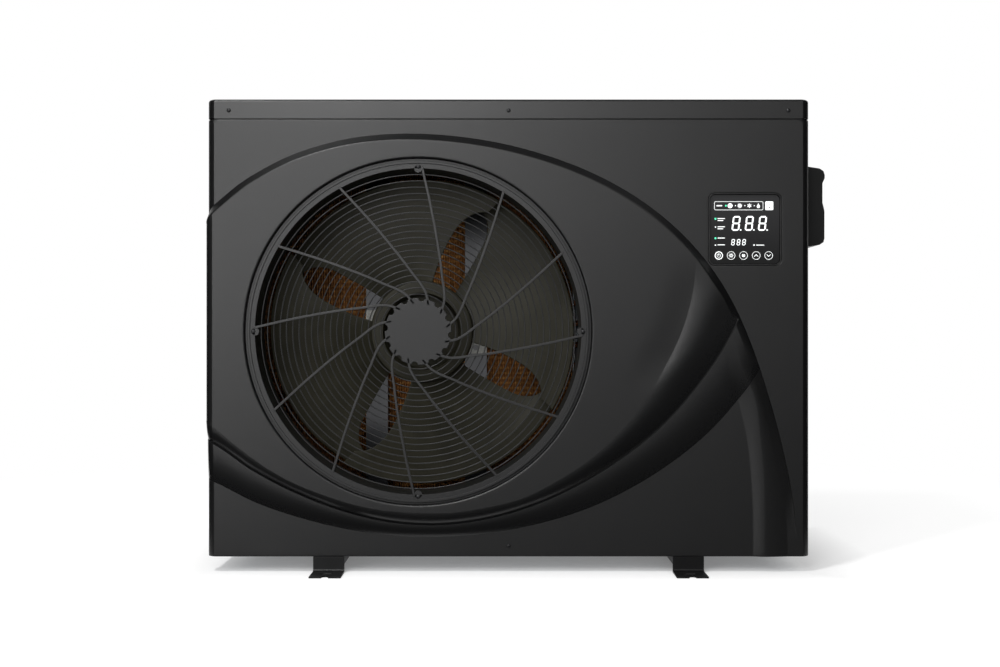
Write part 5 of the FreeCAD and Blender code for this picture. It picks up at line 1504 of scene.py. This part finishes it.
# ---------------------------------------------------------------- fan
@dataclass
class FanWheel:
    """The axial fan: four wide swept blades on a ribbed hub cup."""

    blades: int = 4
    turn: float = 22.0
    tip: float = 0.238
    root: float = 0.077
    hub: float = 0.080
    wall: float = 0.004
    thickness: float = 0.003
    pitch: float = 0.036
    gap_start: float = 0.55
    gap_end: float = 0.84
    overlap: float = 2.0
    quarter: float = 45.0
    leads: Place = (11.0, 8.0)  # degrees short of a quarter at the hub, and how much less at the tip
    trails: Place = (17.0, 13.0)
    lag: float = 6.0  # how far the tip trails the hub, in degrees

    def __post_init__(self) -> None:
        """Take the wheel's place from the frame."""
        self.low, self.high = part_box("fan")
        self.centre = (self.low + self.high) / 2
        self.face = self.low.y + 0.005

    def surface(self, along: float, out: float) -> Vector:
        """Find a place on the middle of a blade.

        Args:
            along: The share of the way from its leading edge to its trailing one.
            out: The share of the way from the hub to the tip.

        Returns:
            The place.
        """
        radius = self.root + (self.tip - self.root) * out
        end = min(max((out - self.gap_start) / (self.gap_end - self.gap_start), 0.0), 1.0)
        open_share = math.sqrt(1.0 - end * end)
        lead, trail = (self.quarter - (most - less * out) * open_share + self.overlap * end ** 4
                       for most, less in (self.leads, self.trails))
        angle = math.radians(-self.lag * out ** 2 - lead + (lead + trail) * along + self.turn)
        y = self.face + 0.005 + self.pitch * along ** 1.15 - 0.005 * out * (1.0 - along)
        return Vector((self.centre.x + radius * math.cos(angle), y, self.centre.z + radius * math.sin(angle)))

    def blade(self) -> Piece:
        """Shape one blade and round its edges.

        Returns:
            The blade.
        """
        blade = ribbon("blade", 40, 52, self.surface)
        worked(blade, "SOLIDIFY", thickness=self.thickness, offset=0.0, use_rim=True)
        return smoothed(eased(blade, 0.0011, 2, 60.0), 50.0)

    def cup(self) -> Piece:
        """Turn the hub cup with its stepped face and inner boss.

        Returns:
            The cup.
        """
        y, hub, wall = self.face, self.hub, self.wall
        deep = self.high.y
        floor, rim = y + 0.024, y + wall + 0.002
        bore, boss, boss_end = 0.006, 0.016, self.low.y + 0.035
        profile = [(bore, self.low.y), (boss - 0.001, self.low.y), (boss, y - 0.004), (boss, floor),
                   (0.056, floor), (0.0595, y + 0.002), (0.061, y), (hub - 0.005, y),
                   (hub - 0.0015, y + 0.0015), (hub, y + 0.005), (hub, deep), (hub - wall, deep),
                   (hub - wall, rim), (0.0625, rim), (0.0605, floor + wall), (boss, floor + wall),
                   (boss, boss_end), (bore, boss_end)]
        return smoothed(turned("cup", profile, self.centre, 96), 32.0)

    def ribs(self) -> list[Piece]:
        """Set the ribs that stiffen the cup from inside.

        Returns:
            The ribs.
        """
        near = self.centre + Vector((0.0600, 0.0, -0.0012))
        far = self.centre + Vector((self.hub - self.wall + 0.001, 0.0, 0.0012))
        rib = block("rib", (near.x, self.face + 0.004, near.z), (far.x, self.face + 0.030, far.z))
        return around(eased(rib, 0.0004, 1), self.centre, 8)

    def build(self) -> Piece:
        """Make the wheel as one moulding that turns with its rotor."""
        parts = [self.cup()] + around(self.blade(), self.centre, self.blades) + self.ribs()
        return dressed(joined("fan_wheel", parts), "fan_plastic", "fan_rotor", ["fan"])


# ---------------------------------------------------------------- evaporator
@dataclass
class FinPack:
    """The golden fins of the evaporator, round its bend from the rear leg to the left one."""

    pitch: float = 0.0042
    fin: float = 0.0014
    waves: int = 3
    wave: float = 0.0038
    bend: float = 0.050
    depth: float = 0.040
    baffle: Spot = (0.0065, 0.008, 0.006)  # its two faces, and up from the fins' foot

    def __post_init__(self) -> None:
        """Take the pack's corners from the frame."""
        self.low, self.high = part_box("evaporator_fins")

    def build(self) -> Piece:
        """Stack the fins along both legs and fan them round the bend.

        Returns:
            The finished pack.
        """
        low, high, depth = self.low, self.high, self.depth
        first = ribbon("fin", self.waves * 2, 1, lambda s, t: Vector((
            high.x - self.fin - self.wave * (round(s * self.waves * 2) % 2),
            high.y - depth + depth * s, low.z + 0.001 + (high.z - low.z - 0.002) * t)))
        worked(first, "SOLIDIFY", thickness=self.fin, offset=0.0, use_rim=True)
        centre = Vector((low.x + self.bend, high.y - self.bend, 0.0))
        fins = [first]
        for i in range(1, int((high.x - centre.x) / self.pitch)):
            fins.append(copied(first, Matrix.Translation((-self.pitch * i, 0.0, 0.0))))
        steps = int(math.pi / 2 * self.bend / self.pitch)
        to_bend = Matrix.Translation((centre.x - high.x, 0.0, 0.0))
        for i in range(steps + 1):
            spin = Matrix.Translation(centre) @ Matrix.Rotation(math.pi / 2 * i / steps, 4, "Z")
            fins.append(copied(first, spin @ Matrix.Translation(-centre) @ to_bend))
        last = fins[-1]
        for i in range(1, int((centre.y - low.y) / self.pitch)):
            fins.append(copied(last, Matrix.Translation((0.0, -self.pitch * i, 0.0))))
        self.close_end()
        return dressed(joined("fin_pack", fins), "golden_fins", nodes=["evaporator_fins"])

    def close_end(self) -> Piece:
        """Close the gap between the pack's end and the partition with a plate.

        Returns:
            The plate.
        """
        wall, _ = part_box("partition_plate")
        near, far, foot = self.baffle
        plate = block("coil_baffle", (self.high.x, self.high.y + near, self.low.z + foot),
                      (wall.x, self.high.y + far, self.high.z))
        return dressed(eased(plate, 0.0003), "galvanised")


# ---------------------------------------------------------------- display
@dataclass
class Display:
    """The controller: a glass in a frame, with lit digits, lamps, symbols and touch keys on it."""

    film: float = 0.00012  # how thick a print is
    lean: float = 0.12
    break_share: float = 0.08  # the break between two strokes of a digit, as a share of their width
    glass_round: float = 0.008
    mode_level: float = 0.0357
    lamp_at: float = -0.0440
    key_level: float = -0.0392
    key_radius: float = 0.0062
    key_places: tuple[float, ...] = (-0.0390, -0.0205, -0.0018, 0.0172, 0.0360)

    def __post_init__(self) -> None:
        """Take the glass from the frame."""
        self.low, self.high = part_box("display_window")
        self.centre = (self.low + self.high) / 2
        self.white: list[Piece] = []
        self.green: list[Piece] = []
        self.dark: list[Piece] = []

    def ink(self, kept: list[Piece], outline: Sequence[Place], layer: int = 1) -> None:
        """Print an outline on the glass.

        Args:
            kept: The prints of its colour, which the thin piece is added to.
            outline: The corners in order, each across and up from the glass's centre.
            layer: 1 on the glass, 2 on top of another print.
        """
        moved = [(self.centre.x + x, self.centre.z + z) for x, z in outline]
        kept.append(outlined("print", moved, self.low.y - self.film * layer, self.film))

    def disc(self, x: float, z: float, radius: float, steps: int = 24) -> list[Place]:
        """Return a round outline."""
        return arc((x, z), radius, 0.0, 360.0 * (steps - 1) / steps, steps - 1)

    def bar(self, x0: float, z0: float, x1: float, z1: float, stroke: float) -> list[Place]:
        """Draw a straight stroke whose ends are cut to points.

        Args:
            x0: How far across one end is.
            z0: How far up it is.
            x1: How far across the other end is.
            z1: How far up it is.
            stroke: How wide the stroke is.

        Returns:
            Its outline.
        """
        run = Vector((x1 - x0, z1 - z0)).normalized() * stroke / 2
        side = Vector((-run.y, run.x))
        start, end = Vector((x0, z0)), Vector((x1, z1))
        corners = (start + side, start - run, start - side, end - side, end + run, end + side)
        return [(corner.x, corner.y) for corner in corners]

    def loop(self, outer: Sequence[Place], inner: Sequence[Place]) -> None:
        """Print the white band between two outlines with the same number of corners.

        Args:
            outer: The outer outline, across and up from the glass's centre.
            inner: The inner one.
        """

        def between(s: float, t: float) -> Vector:
            """Find a place between the outlines.

            Args:
                s: The share of the way round.
                t: The share of the way inwards.

            Returns:
                The place.
            """
            i = round(s * len(outer)) % len(outer)
            x, z = Vector(outer[i]).lerp(Vector(inner[i]), t)
            return Vector((self.centre.x + x, self.low.y - self.film / 2, self.centre.z + z))

        piece = ribbon("loop", len(outer), 1, between)
        worked(piece, "SOLIDIFY", thickness=self.film, offset=0.0, use_rim=True)
        self.white.append(sealed(piece, MERGE))

    def digit(self, x: float, z: float, wide: float, tall: float, stroke: float) -> None:
        """Print a leaning eight of seven strokes.

        Args:
            x: How far across its lower left corner is.
            z: How far up that corner is.
            wide: How wide it is, without its lean.
            tall: How tall it is.
            stroke: How wide its strokes are.
        """
        trim = stroke * (0.5 + self.break_share)
        left, right = stroke / 2, wide - stroke / 2
        levels = (stroke / 2, tall / 2, tall - stroke / 2)
        ends = [(left + trim, level, right - trim, level) for level in levels]
        for side in (left, right):
            ends += [(side, low + trim, side, high - trim) for low, high in zip(levels, levels[1:])]
        for end in ends:
            self.ink(self.white, [(x + px + self.lean * pz, z + pz) for px, pz in self.bar(*end, stroke)])

    def numbers(self) -> None:
        """Print the three large eights with their points, and the three small ones."""
        for i in range(3):
            self.digit(-0.0202 + 0.0198 * i, -0.0020, 0.0118, 0.0222, 0.0024)
        for i in range(3):
            self.ink(self.white, self.disc(-0.0060 + 0.0198 * i, -0.0008, 0.0012, 12))
        for i in range(3):
            self.digit(-0.0207 + 0.0082 * i, -0.0240, 0.0052, 0.0095, 0.0012)

    def modes(self) -> None:
        """Print the frame along the top with its mode symbols, and the white tile beside it."""
        outer = rounded_outline((-0.0459, 0.0291), (0.0278, 0.0422), 0.0022, 4)
        inner = rounded_outline((-0.0453, 0.0297), (0.0272, 0.0416), 0.0016, 4)
        self.loop(outer, inner)
        level = self.mode_level
        self.ink(self.white, self.bar(-0.0420, level, -0.0345, level, 0.0018))
        self.ink(self.green, self.disc(-0.0283, level, 0.0013))
        for x in (-0.0139, 0.0002, 0.0143):
            self.ink(self.white, self.disc(x, level, 0.0008))
        self.ink(self.white, self.disc(-0.0220, level, 0.0037))
        self.star(-0.0075, level, 0.0033, 6, 0.0008)
        self.star(0.0070, level, 0.0028, 3, 0.0014)
        drop = 0.0205
        self.ink(self.white, arc((drop, 0.0345), 0.0024, -200.0, 20.0, 16) + [(drop, 0.0395)])
        self.ink(self.white, rounded_outline((0.0308, 0.0291), (0.0429, 0.0422), 0.0016, 4))
        wave = 0.0369
        for radius in (0.0020, 0.0038):
            bow, back = (arc((wave, 0.0332), size, 45.0, 135.0, 8) for size in (radius, radius + 0.0007))
            self.ink(self.dark, bow + back[::-1], 2)
        self.ink(self.dark, self.disc(wave, 0.0330, 0.0009, 12), 2)

    def star(self, x: float, z: float, radius: float, arms: int, stroke: float) -> None:
        """Print crossed strokes, as for a snow flake or a small fan.

        Args:
            x: How far across its middle is.
            z: How far up that is.
            radius: How far each stroke reaches to either side.
            arms: How many strokes there are.
            stroke: How wide they are.
        """
        for i in range(arms):
            angle = math.pi * i / arms + math.pi / 2
            dx, dz = radius * math.cos(angle), radius * math.sin(angle)
            self.ink(self.white, self.bar(x - dx, z - dz, x + dx, z + dz, stroke))

    def lamps(self) -> None:
        """Print the status lamps, each with one or two label bars: four at the left, one at the right."""
        stroke, last = 0.0012, -0.0235
        for z, lit, rows in ((0.0160, True, 2), (0.0036, False, 2), (-0.0133, True, 1), (last, False, 1)):
            kept, radius = (self.green, 0.0015) if lit else (self.white, 0.0010)
            self.ink(kept, self.disc(self.lamp_at, z, radius, 16))
            for row in range(rows):
                level = z + 0.0004 - 0.0030 * row
                end = -0.0302 - 0.0025 * row
                self.ink(self.white, self.bar(-0.0405, level, end, level, stroke))
        self.ink(self.white, self.disc(0.0140, last, 0.0012, 16))
        self.ink(self.white, self.bar(0.0175, last, 0.0290, last, stroke))

    def keys(self) -> None:
        """Print the five ringed touch keys with their symbols."""
        symbols = (self.power_symbol, self.gear_symbol, self.clock_symbol, self.up_symbol, self.down_symbol)
        for i, (x, symbol) in enumerate(zip(self.key_places, symbols)):
            band = 0.0013 if i == 0 else 0.0006
            outer, inner = (arc((x, self.key_level), radius, 0.0, 352.5, 47)
                            for radius in (self.key_radius, self.key_radius - band))
            self.loop(outer, inner)
            symbol(x)

    def power_symbol(self, x: float) -> None:
        """Print an open ring with a stroke in its gap.

        Args:
            x: How far across its centre is.
        """
        middle = (x, self.key_level)
        self.ink(self.white, arc(middle, 0.0030, 120.0, 420.0, 20) + arc(middle, 0.0023, 420.0, 120.0, 20))
        self.ink(self.white, self.bar(*middle, x, self.key_level + 0.0032, 0.0010))

    def gear_symbol(self, x: float) -> None:
        """Print a star with a dark middle."""
        self.star(x, self.key_level, 0.0032, 4, 0.0008)
        self.ink(self.dark, self.disc(x, self.key_level, 0.0010, 12), 2)

    def clock_symbol(self, x: float) -> None:
        """Print a disc with two dark hands.

        Args:
            x: How far across its centre is.
        """
        level = self.key_level
        self.ink(self.white, self.disc(x, level, 0.0024))
        for dx, dz in ((0.0, 0.0024), (0.0018, 0.0)):
            self.ink(self.dark, self.bar(x, level, x + dx, level + dz, 0.0007), 2)

    def up_symbol(self, x: float, rise: float = 0.0014) -> None:
        """Print an arrow head that points up.

        Args:
            x: How far across its tip is.
            rise: How far the tip stands over the ends.
        """
        tip, foot = self.key_level + rise, self.key_level - rise
        for side in (-1, 1):
            self.ink(self.white, self.bar(x, tip, x + side * 0.0028, foot, 0.0009))

    def down_symbol(self, x: float) -> None:
        """Print an arrow head that points down."""
        self.up_symbol(x, -0.0014)

    def build(self) -> None:
        """Make the frame, the glass and everything that is printed on it."""
        finished("display_bezel", "black_plastic", 0.0006)
        outline = rounded_outline((self.low.x, self.low.z), (self.high.x, self.high.z),
                                  self.glass_round, 8)
        glass = outlined("display_glass_pane", outline, self.low.y, self.high.y - self.low.y)
        dressed(smoothed(eased(glass, 0.0005, 2), 30.0), "display_glass", nodes=["display_window"])
        self.modes()
        self.numbers()
        self.lamps()
        self.keys()
        dressed(joined("display_symbols", self.white), "display_white")
        dressed(joined("display_lamps", self.green), "display_green")
        dressed(joined("display_cutouts", self.dark), "black_plastic")


# ---------------------------------------------------------------- casing
def finished(node: str, slot: str, width: float, body: str = "casing", angle: float = 30.0) -> Piece:
    """Put a cleaned copy with eased edges in place of a CAD node.

    Args:
        node: The CAD node.
        slot: The material slot of its finish.
        width: How far its sharp edges are rounded, or 0 to leave its faces and edges as they are.
        body: The CAD body that it moves with.
        angle: The angle in degrees from which an edge is sharp.

    Returns:
        The finished piece.
    """
    piece = cleaned(node, whole=width > 0.0)
    if width > 0.0:
        worked(piece, "BEVEL", width=width, segments=2, limit_method="ANGLE", angle_limit=math.radians(angle),
               use_clamp_overlap=True, miter_outer="MITER_ARC")
    return dressed(smoothed(piece, 35.0), slot, body, [node])


@dataclass
class Lid:
    """The pressed lid: a skirt with folded corners, a soft upper edge and a raised field."""

    corner: float = CORNER
    lead: float = CORNER_LEAD
    wrap: float = CORNER_WRAP
    edge: float = 0.0042
    sheet: float = 0.0012
    height: float = 0.003  # how far the field stands above the skirt's top
    lap: float = 0.0006  # how far the field's foot is sunk in the lid
    inset: float = 0.045  # how far in from the skirt the field starts
    slope: float = 0.006
    field_round: float = 0.020

    def __post_init__(self) -> None:
        """Take the lid's corners from the frame."""
        self.low, self.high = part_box("top_cover")
        self.top = self.high.z - self.height

    def outline(self) -> list[Place]:
        """Lay out the skirt's outline.

        Returns:
            Its corners, across and back from the lid's middle.
        """
        half = (self.high - self.low) / 2
        out, back = corner_bend(np.linspace(0.0, 1.0, 7), self.corner, self.lead)
        bend = np.stack([half.x + self.wrap - self.corner + out, back - half.y], axis=1)
        quarter = [(x, y) for x, y in bend] + [(x, -y) for x, y in bend[::-1]]
        return quarter + [(-x, y) for x, y in quarter[::-1]]

    def skirt(self) -> Piece:
        """Press the skirt and the flat top from one sheet, open below.

        Returns:
            The skirt with its top.
        """
        middle = (self.low + self.high) / 2
        foot = [(middle.x + x, middle.y + y, self.low.z) for x, y in self.outline()]
        piece = extruded("lid_pressed", foot, (0.0, 0.0, self.top - self.low.z))
        mesh = bmesh.new()
        mesh.from_mesh(piece.data)
        weight = mesh.edges.layers.float.new("bevel_weight_edge")
        for edge in mesh.edges:
            edge[weight] = float(min(corner.co.z for corner in edge.verts) > self.top - 1e-5)
        mesh.to_mesh(piece.data)
        mesh.free()
        worked(piece, "BEVEL", width=self.edge, segments=5, limit_method="WEIGHT")
        only(piece)
        bpy.ops.object.mode_set(mode="EDIT")
        bpy.ops.mesh.select_all(action="DESELECT")
        bpy.ops.mesh.select_mode(type="FACE")
        mesh = bmesh.from_edit_mesh(piece.data)
        max(mesh.faces, key=lambda face: face.calc_area() * (face.normal.z < -0.9)).select_set(True)
        bmesh.update_edit_mesh(piece.data)
        bpy.ops.mesh.delete(type="ONLY_FACE")
        bpy.ops.object.mode_set(mode="OBJECT")
        return worked(piece, "SOLIDIFY", thickness=self.sheet, offset=-1.0, use_rim=True)

    def raised(self) -> Piece:
        """Raise the field in the middle of the lid, with sloping sides.

        Returns:
            The field.
        """
        low, high = self.low, self.high
        foot, head = (
            rounded_outline((low.x + gap, low.y + gap), (high.x - gap, high.y - gap), self.field_round, 8)
            for gap in (self.inset, self.inset + self.slope))
        level = self.top - self.lap
        piece = extruded("field", [(x, y, level) for x, y in foot], (0.0, 0.0, high.z - level))
        for corner, (x, y) in zip(piece.data.vertices[len(foot):], head):
            corner.co = (x, y, high.z)
        return piece

    def build(self) -> Piece:
        """Join the skirt and the field."""
        piece = joined("lid_pressed", [self.skirt(), self.raised()])
        return dressed(smoothed(piece, 21.0), "casing_paint", nodes=["top_cover"])


@dataclass
class Casing:
    """The painted sheets, the feet and the mouldings round the outside."""

    sheets: tuple[tuple[str, str, float], ...] = (
        *((node, "casing_paint", 0.0) for node in (
            "side_panel_left", "side_panel_right", "rear_service_panel", "rear_coil_guard")),
        ("foot_rail_left", "foot_paint", 0.0005),
        ("foot_rail_right", "foot_paint", 0.0005),
        ("terminal_cover", "cover_plastic", 0.0012),
        ("cable_glands", "black_plastic", 0.0004),
        ("drain_spigot", "black_plastic", 0.0004),
        ("fan_shroud", "black_plastic", 0.0006),
        ("base_pan", "galvanised", 0.0004),
        # The motor bracket's near-black finish is painted shade.
        ("motor_bracket", "bracket_steel_painted_shade", 0.0005),
        ("fan_motor", "motor_aluminium", 0.0010),
        ("water_pipes", "union_plastic", 0.0006),
        ("union_tails", "union_plastic", 0.0006),
    )

    def build(self) -> None:
        """Finish every sheet and moulding, and the two nuts that turn."""
        Lid().build()
        for node, slot, width in self.sheets:
            finished(node, slot, width)
        finished("union_nut_in", "union_plastic", 0.0010, "nut_in")
        finished("union_nut_out", "union_plastic", 0.0010, "nut_out")
        for node in ("lid_screws", "casing_screws", "grille_screws"):
            Screws(node).build()


def carry_over() -> None:
    """Give the CAD nodes that stay their finish, by the record's material slots."""
    slots = {part["node"]: part["material_slot"] for part in frame["record"]["subparts"]}
    for name, piece in frame["nodes"].items():
        if not piece.hide_render:
            material = FINISHES[slots[name]].material()
            for place in piece.material_slots:
                place.material = material
            if not piece.material_slots:
                piece.data.materials.append(material)


# ---------------------------------------------------------------- studio
@dataclass(frozen=True)
class Lamp:
    """One soft lamp: where it is, what it looks at, its size and its power."""

    name: str
    place: Spot
    target: Spot
    size: Place
    power: float
    spread: float = 180.0

    def build(self) -> None:
        """Hang the lamp."""
        data = bpy.data.lights.new(self.name, "AREA")
        data.shape = "RECTANGLE"
        data.size, data.size_y = self.size
        data.energy = self.power
        data.spread = math.radians(self.spread)
        lamp = bpy.data.objects.new(self.name, data)
        lamp.location = self.place
        aim = Vector(self.target) - Vector(self.place)
        lamp.rotation_euler = aim.to_track_quat("-Z", "Y").to_euler()
        bpy.context.scene.collection.objects.link(lamp)


FRONT = (0.0, -0.1, 0.35)
SOFT_BOX = (0.9, 0.9)


@dataclass
class Studio:
    """A white room with a soft shadow, partly cast by the lamps and partly painted on the floor, dark cards
    round the object, and the camera.
    """

    eye: Spot = (-0.0128, -2.265, 0.359)
    lens: float = 50.0
    film: float = 36.0
    world: float = 0.35
    floor: float = 0.80
    lift: float = 0.63  # the floor's own glow beyond the painted shadow
    dark_lift: float = 0.16  # and under the object, turned down as a painted shadow
    footprint: Spot = (0.46, 0.19, 0.0)
    painted_shadow_edge: Place = (-0.06, 0.13)  # where the painted shadow's glow starts and is full, outside the footprint
    fade: Place = (0.8, 1.7)
    card: float = 0.004
    card_wall: Spot = (5.0, 5.2, 1.6)  # its radius, its height and how high its middle is
    card_wall_end: float = -0.6
    card_floor: Place = (4.4, -2.4)  # its width and its middle's place along Y
    card_ceiling: Place = (3.4, 3.2)  # its width and how high it is
    card_side: Spot = (0.62, -0.45, 0.0)
    card_side_end: Place = (-0.03, 0.95)
    coil_gap: float = 0.012
    coil_size: Place = (0.32, 0.32)
    coil_power: float = 0.16
    coil_spread: float = 75.0
    lamps: tuple[Lamp, ...] = (
        Lamp("left_lamp", (-1.4, -2.7, 0.5), FRONT, SOFT_BOX, 16.0),
        Lamp("high_lamp", (-0.5, -2.7, 1.5), FRONT, SOFT_BOX, 20.0),
        Lamp("corner_lamp", (-1.4, -2.7, 1.5), FRONT, SOFT_BOX, 3.0),
        Lamp("top_lamp", (-0.95, -1.6, 2.4), (0.0, -0.1, 0.45), (0.4, 0.4), 34.0),
        Lamp("fill_lamp", (0.0, -4.2, 1.2), FRONT, (3.0, 1.8), 22.0),
    )

    def sky(self) -> None:
        """Light the room evenly, and show it white."""
        world = bpy.data.worlds.new("room")
        bpy.context.scene.world = world
        room = Nodes(world)
        background = room.tree.nodes["Background"]
        room.join(WHITE, background.inputs["Color"])
        room.join(room.ramp(room.seen(), 0.0, 1.0, self.world, 1.0), background.inputs["Strength"])

    def ground(self) -> None:
        """Lay the white floor: it keeps the lamps' shadow near the object, with a painted shadow that dims
        its glow under the object, and fades into the room.
        """
        bpy.ops.mesh.primitive_plane_add(size=14.0, location=(0.0, 1.0, 0.0))
        ground = settled(bpy.context.object, "floor")
        sheet = Sheet("floor_white")
        shader = sheet.shader
        dust = sheet.noise(60.0, 4.0)
        sheet.join(sheet.blend(sheet.ramp(dust, 0.4, 0.7), (self.floor,) * 3, (self.floor * 1.04,) * 3),
                   shader.inputs["Base Color"])
        sheet.join(0.9, shader.inputs["Roughness"])
        sheet.join(0.0, shader.inputs["Specular IOR Level"])
        shown = sheet.seen()
        beyond = sheet.node("VectorMath", {0: sheet.place}, operation="ABSOLUTE").outputs["Vector"]
        beyond = sheet.node("VectorMath", {0: beyond, 1: self.footprint}, operation="SUBTRACT").outputs
        sides = sheet.node("SeparateXYZ", {"Vector": beyond["Vector"]}).outputs
        outside = sheet.sum(sides["X"], sides["Y"], "MAXIMUM")
        # Painted shadow: the floor's own glow is turned down under the object's footprint.
        glow = sheet.ramp(outside, *self.painted_shadow_edge, self.dark_lift, self.lift)
        lift = sheet.node("Emission", {"Color": WHITE, "Strength": sheet.sum(shown, glow, "MULTIPLY")})
        near = sheet.node("AddShader", {0: shader.outputs["BSDF"], 1: lift.outputs["Emission"]})
        flat = sheet.node("Mapping", {"Vector": sheet.place, "Scale": (1.0, 1.0, 0.0)}).outputs["Vector"]
        away = sheet.node("VectorMath", {0: flat}, operation="LENGTH").outputs["Value"]
        far = sheet.sum(sheet.ramp(away, *self.fade), shown, "MULTIPLY")
        white = sheet.node("Emission", {"Color": WHITE}).outputs["Emission"]
        mixed = sheet.node("MixShader", {0: far, 1: near.outputs["Shader"], 2: white})
        sheet.join(mixed.outputs["Shader"], sheet.tree.nodes["Material Output"].inputs["Surface"])
        ground.data.materials.append(sheet.material)

    def curved_card(self) -> Piece:
        """Bend a half-round wall in front of the object.

        Returns:
            The wall.
        """
        radius, depth, level = self.card_wall
        bpy.ops.mesh.primitive_cylinder_add(vertices=48, radius=radius, depth=depth, end_fill_type="NOTHING",
                                            location=(0.0, 0.0, level))
        wall = settled(bpy.context.object, "card_wall")
        bpy.ops.object.mode_set(mode="EDIT")
        bpy.ops.mesh.select_all(action="SELECT")
        bpy.ops.mesh.bisect(plane_co=(0.0, self.card_wall_end, 0.0), plane_no=(0.0, 1.0, 0.0),
                            clear_outer=True)
        bpy.ops.object.mode_set(mode="OBJECT")
        return wall

    def cards(self) -> None:
        """Stand dark cards round the object, which only mirrorings see."""
        sheet = Sheet("card_black")
        sheet.join((0.004, 0.004, 0.004, 1.0), sheet.shader.inputs["Base Color"])
        sheet.join(1.0, sheet.shader.inputs["Roughness"])
        sheet.join(0.0, sheet.shader.inputs["Specular IOR Level"])
        cards = [self.curved_card()]
        width, back = self.card_floor
        bpy.ops.mesh.primitive_plane_add(size=width, location=(0.0, back, 0.001))
        cards.append(settled(bpy.context.object, "card_floor"))
        width, level = self.card_ceiling
        bpy.ops.mesh.primitive_plane_add(size=width, location=(0.0, 0.0, level))
        cards.append(settled(bpy.context.object, "card_ceiling"))
        aside, *low = self.card_side
        for x in (-aside, aside):
            cards.append(block("card_side", (x - self.card, *low), (x + self.card, *self.card_side_end)))
        for card in cards:
            card.data.materials.append(sheet.material)
            card.visible_camera = card.visible_diffuse = card.visible_transmission = False
            card.visible_shadow = card.visible_volume_scatter = False

    def eye_piece(self) -> None:
        """Set up the camera level with the middle of the front."""
        data = bpy.data.cameras.new("camera")
        data.lens = self.lens
        data.sensor_width = self.film
        data.clip_start = 0.01
        camera = bpy.data.objects.new("camera", data)
        camera.location = self.eye
        camera.rotation_euler = (math.pi / 2, 0.0, 0.0)
        bpy.context.scene.collection.objects.link(camera)
        bpy.context.scene.camera = camera

    def build(self) -> None:
        """Make the room, hang the lamps and set the camera."""
        bpy.context.scene.view_settings.view_transform = "Standard"
        self.sky()
        self.ground()
        self.cards()
        for lamp in self.lamps:
            lamp.build()
        low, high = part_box("fan")
        middle = (low + high) / 2
        Lamp("coil_lamp", (middle.x, high.y + self.coil_gap, middle.z), (middle.x, high.y + 1.0, middle.z),
             self.coil_size, self.coil_power, self.coil_spread).build()
        self.eye_piece()


def main() -> None:
    """Build the looks of the heat pump on its frame."""
    logging.basicConfig(level=logging.INFO, format="%(message)s")
    FrontPanel().build()
    FanGrille().build()
    FanWheel().build()
    FinPack().build()
    Display().build()
    Casing().build()
    carry_over()
    Studio().build()


if __name__ == "__main__":
    main()
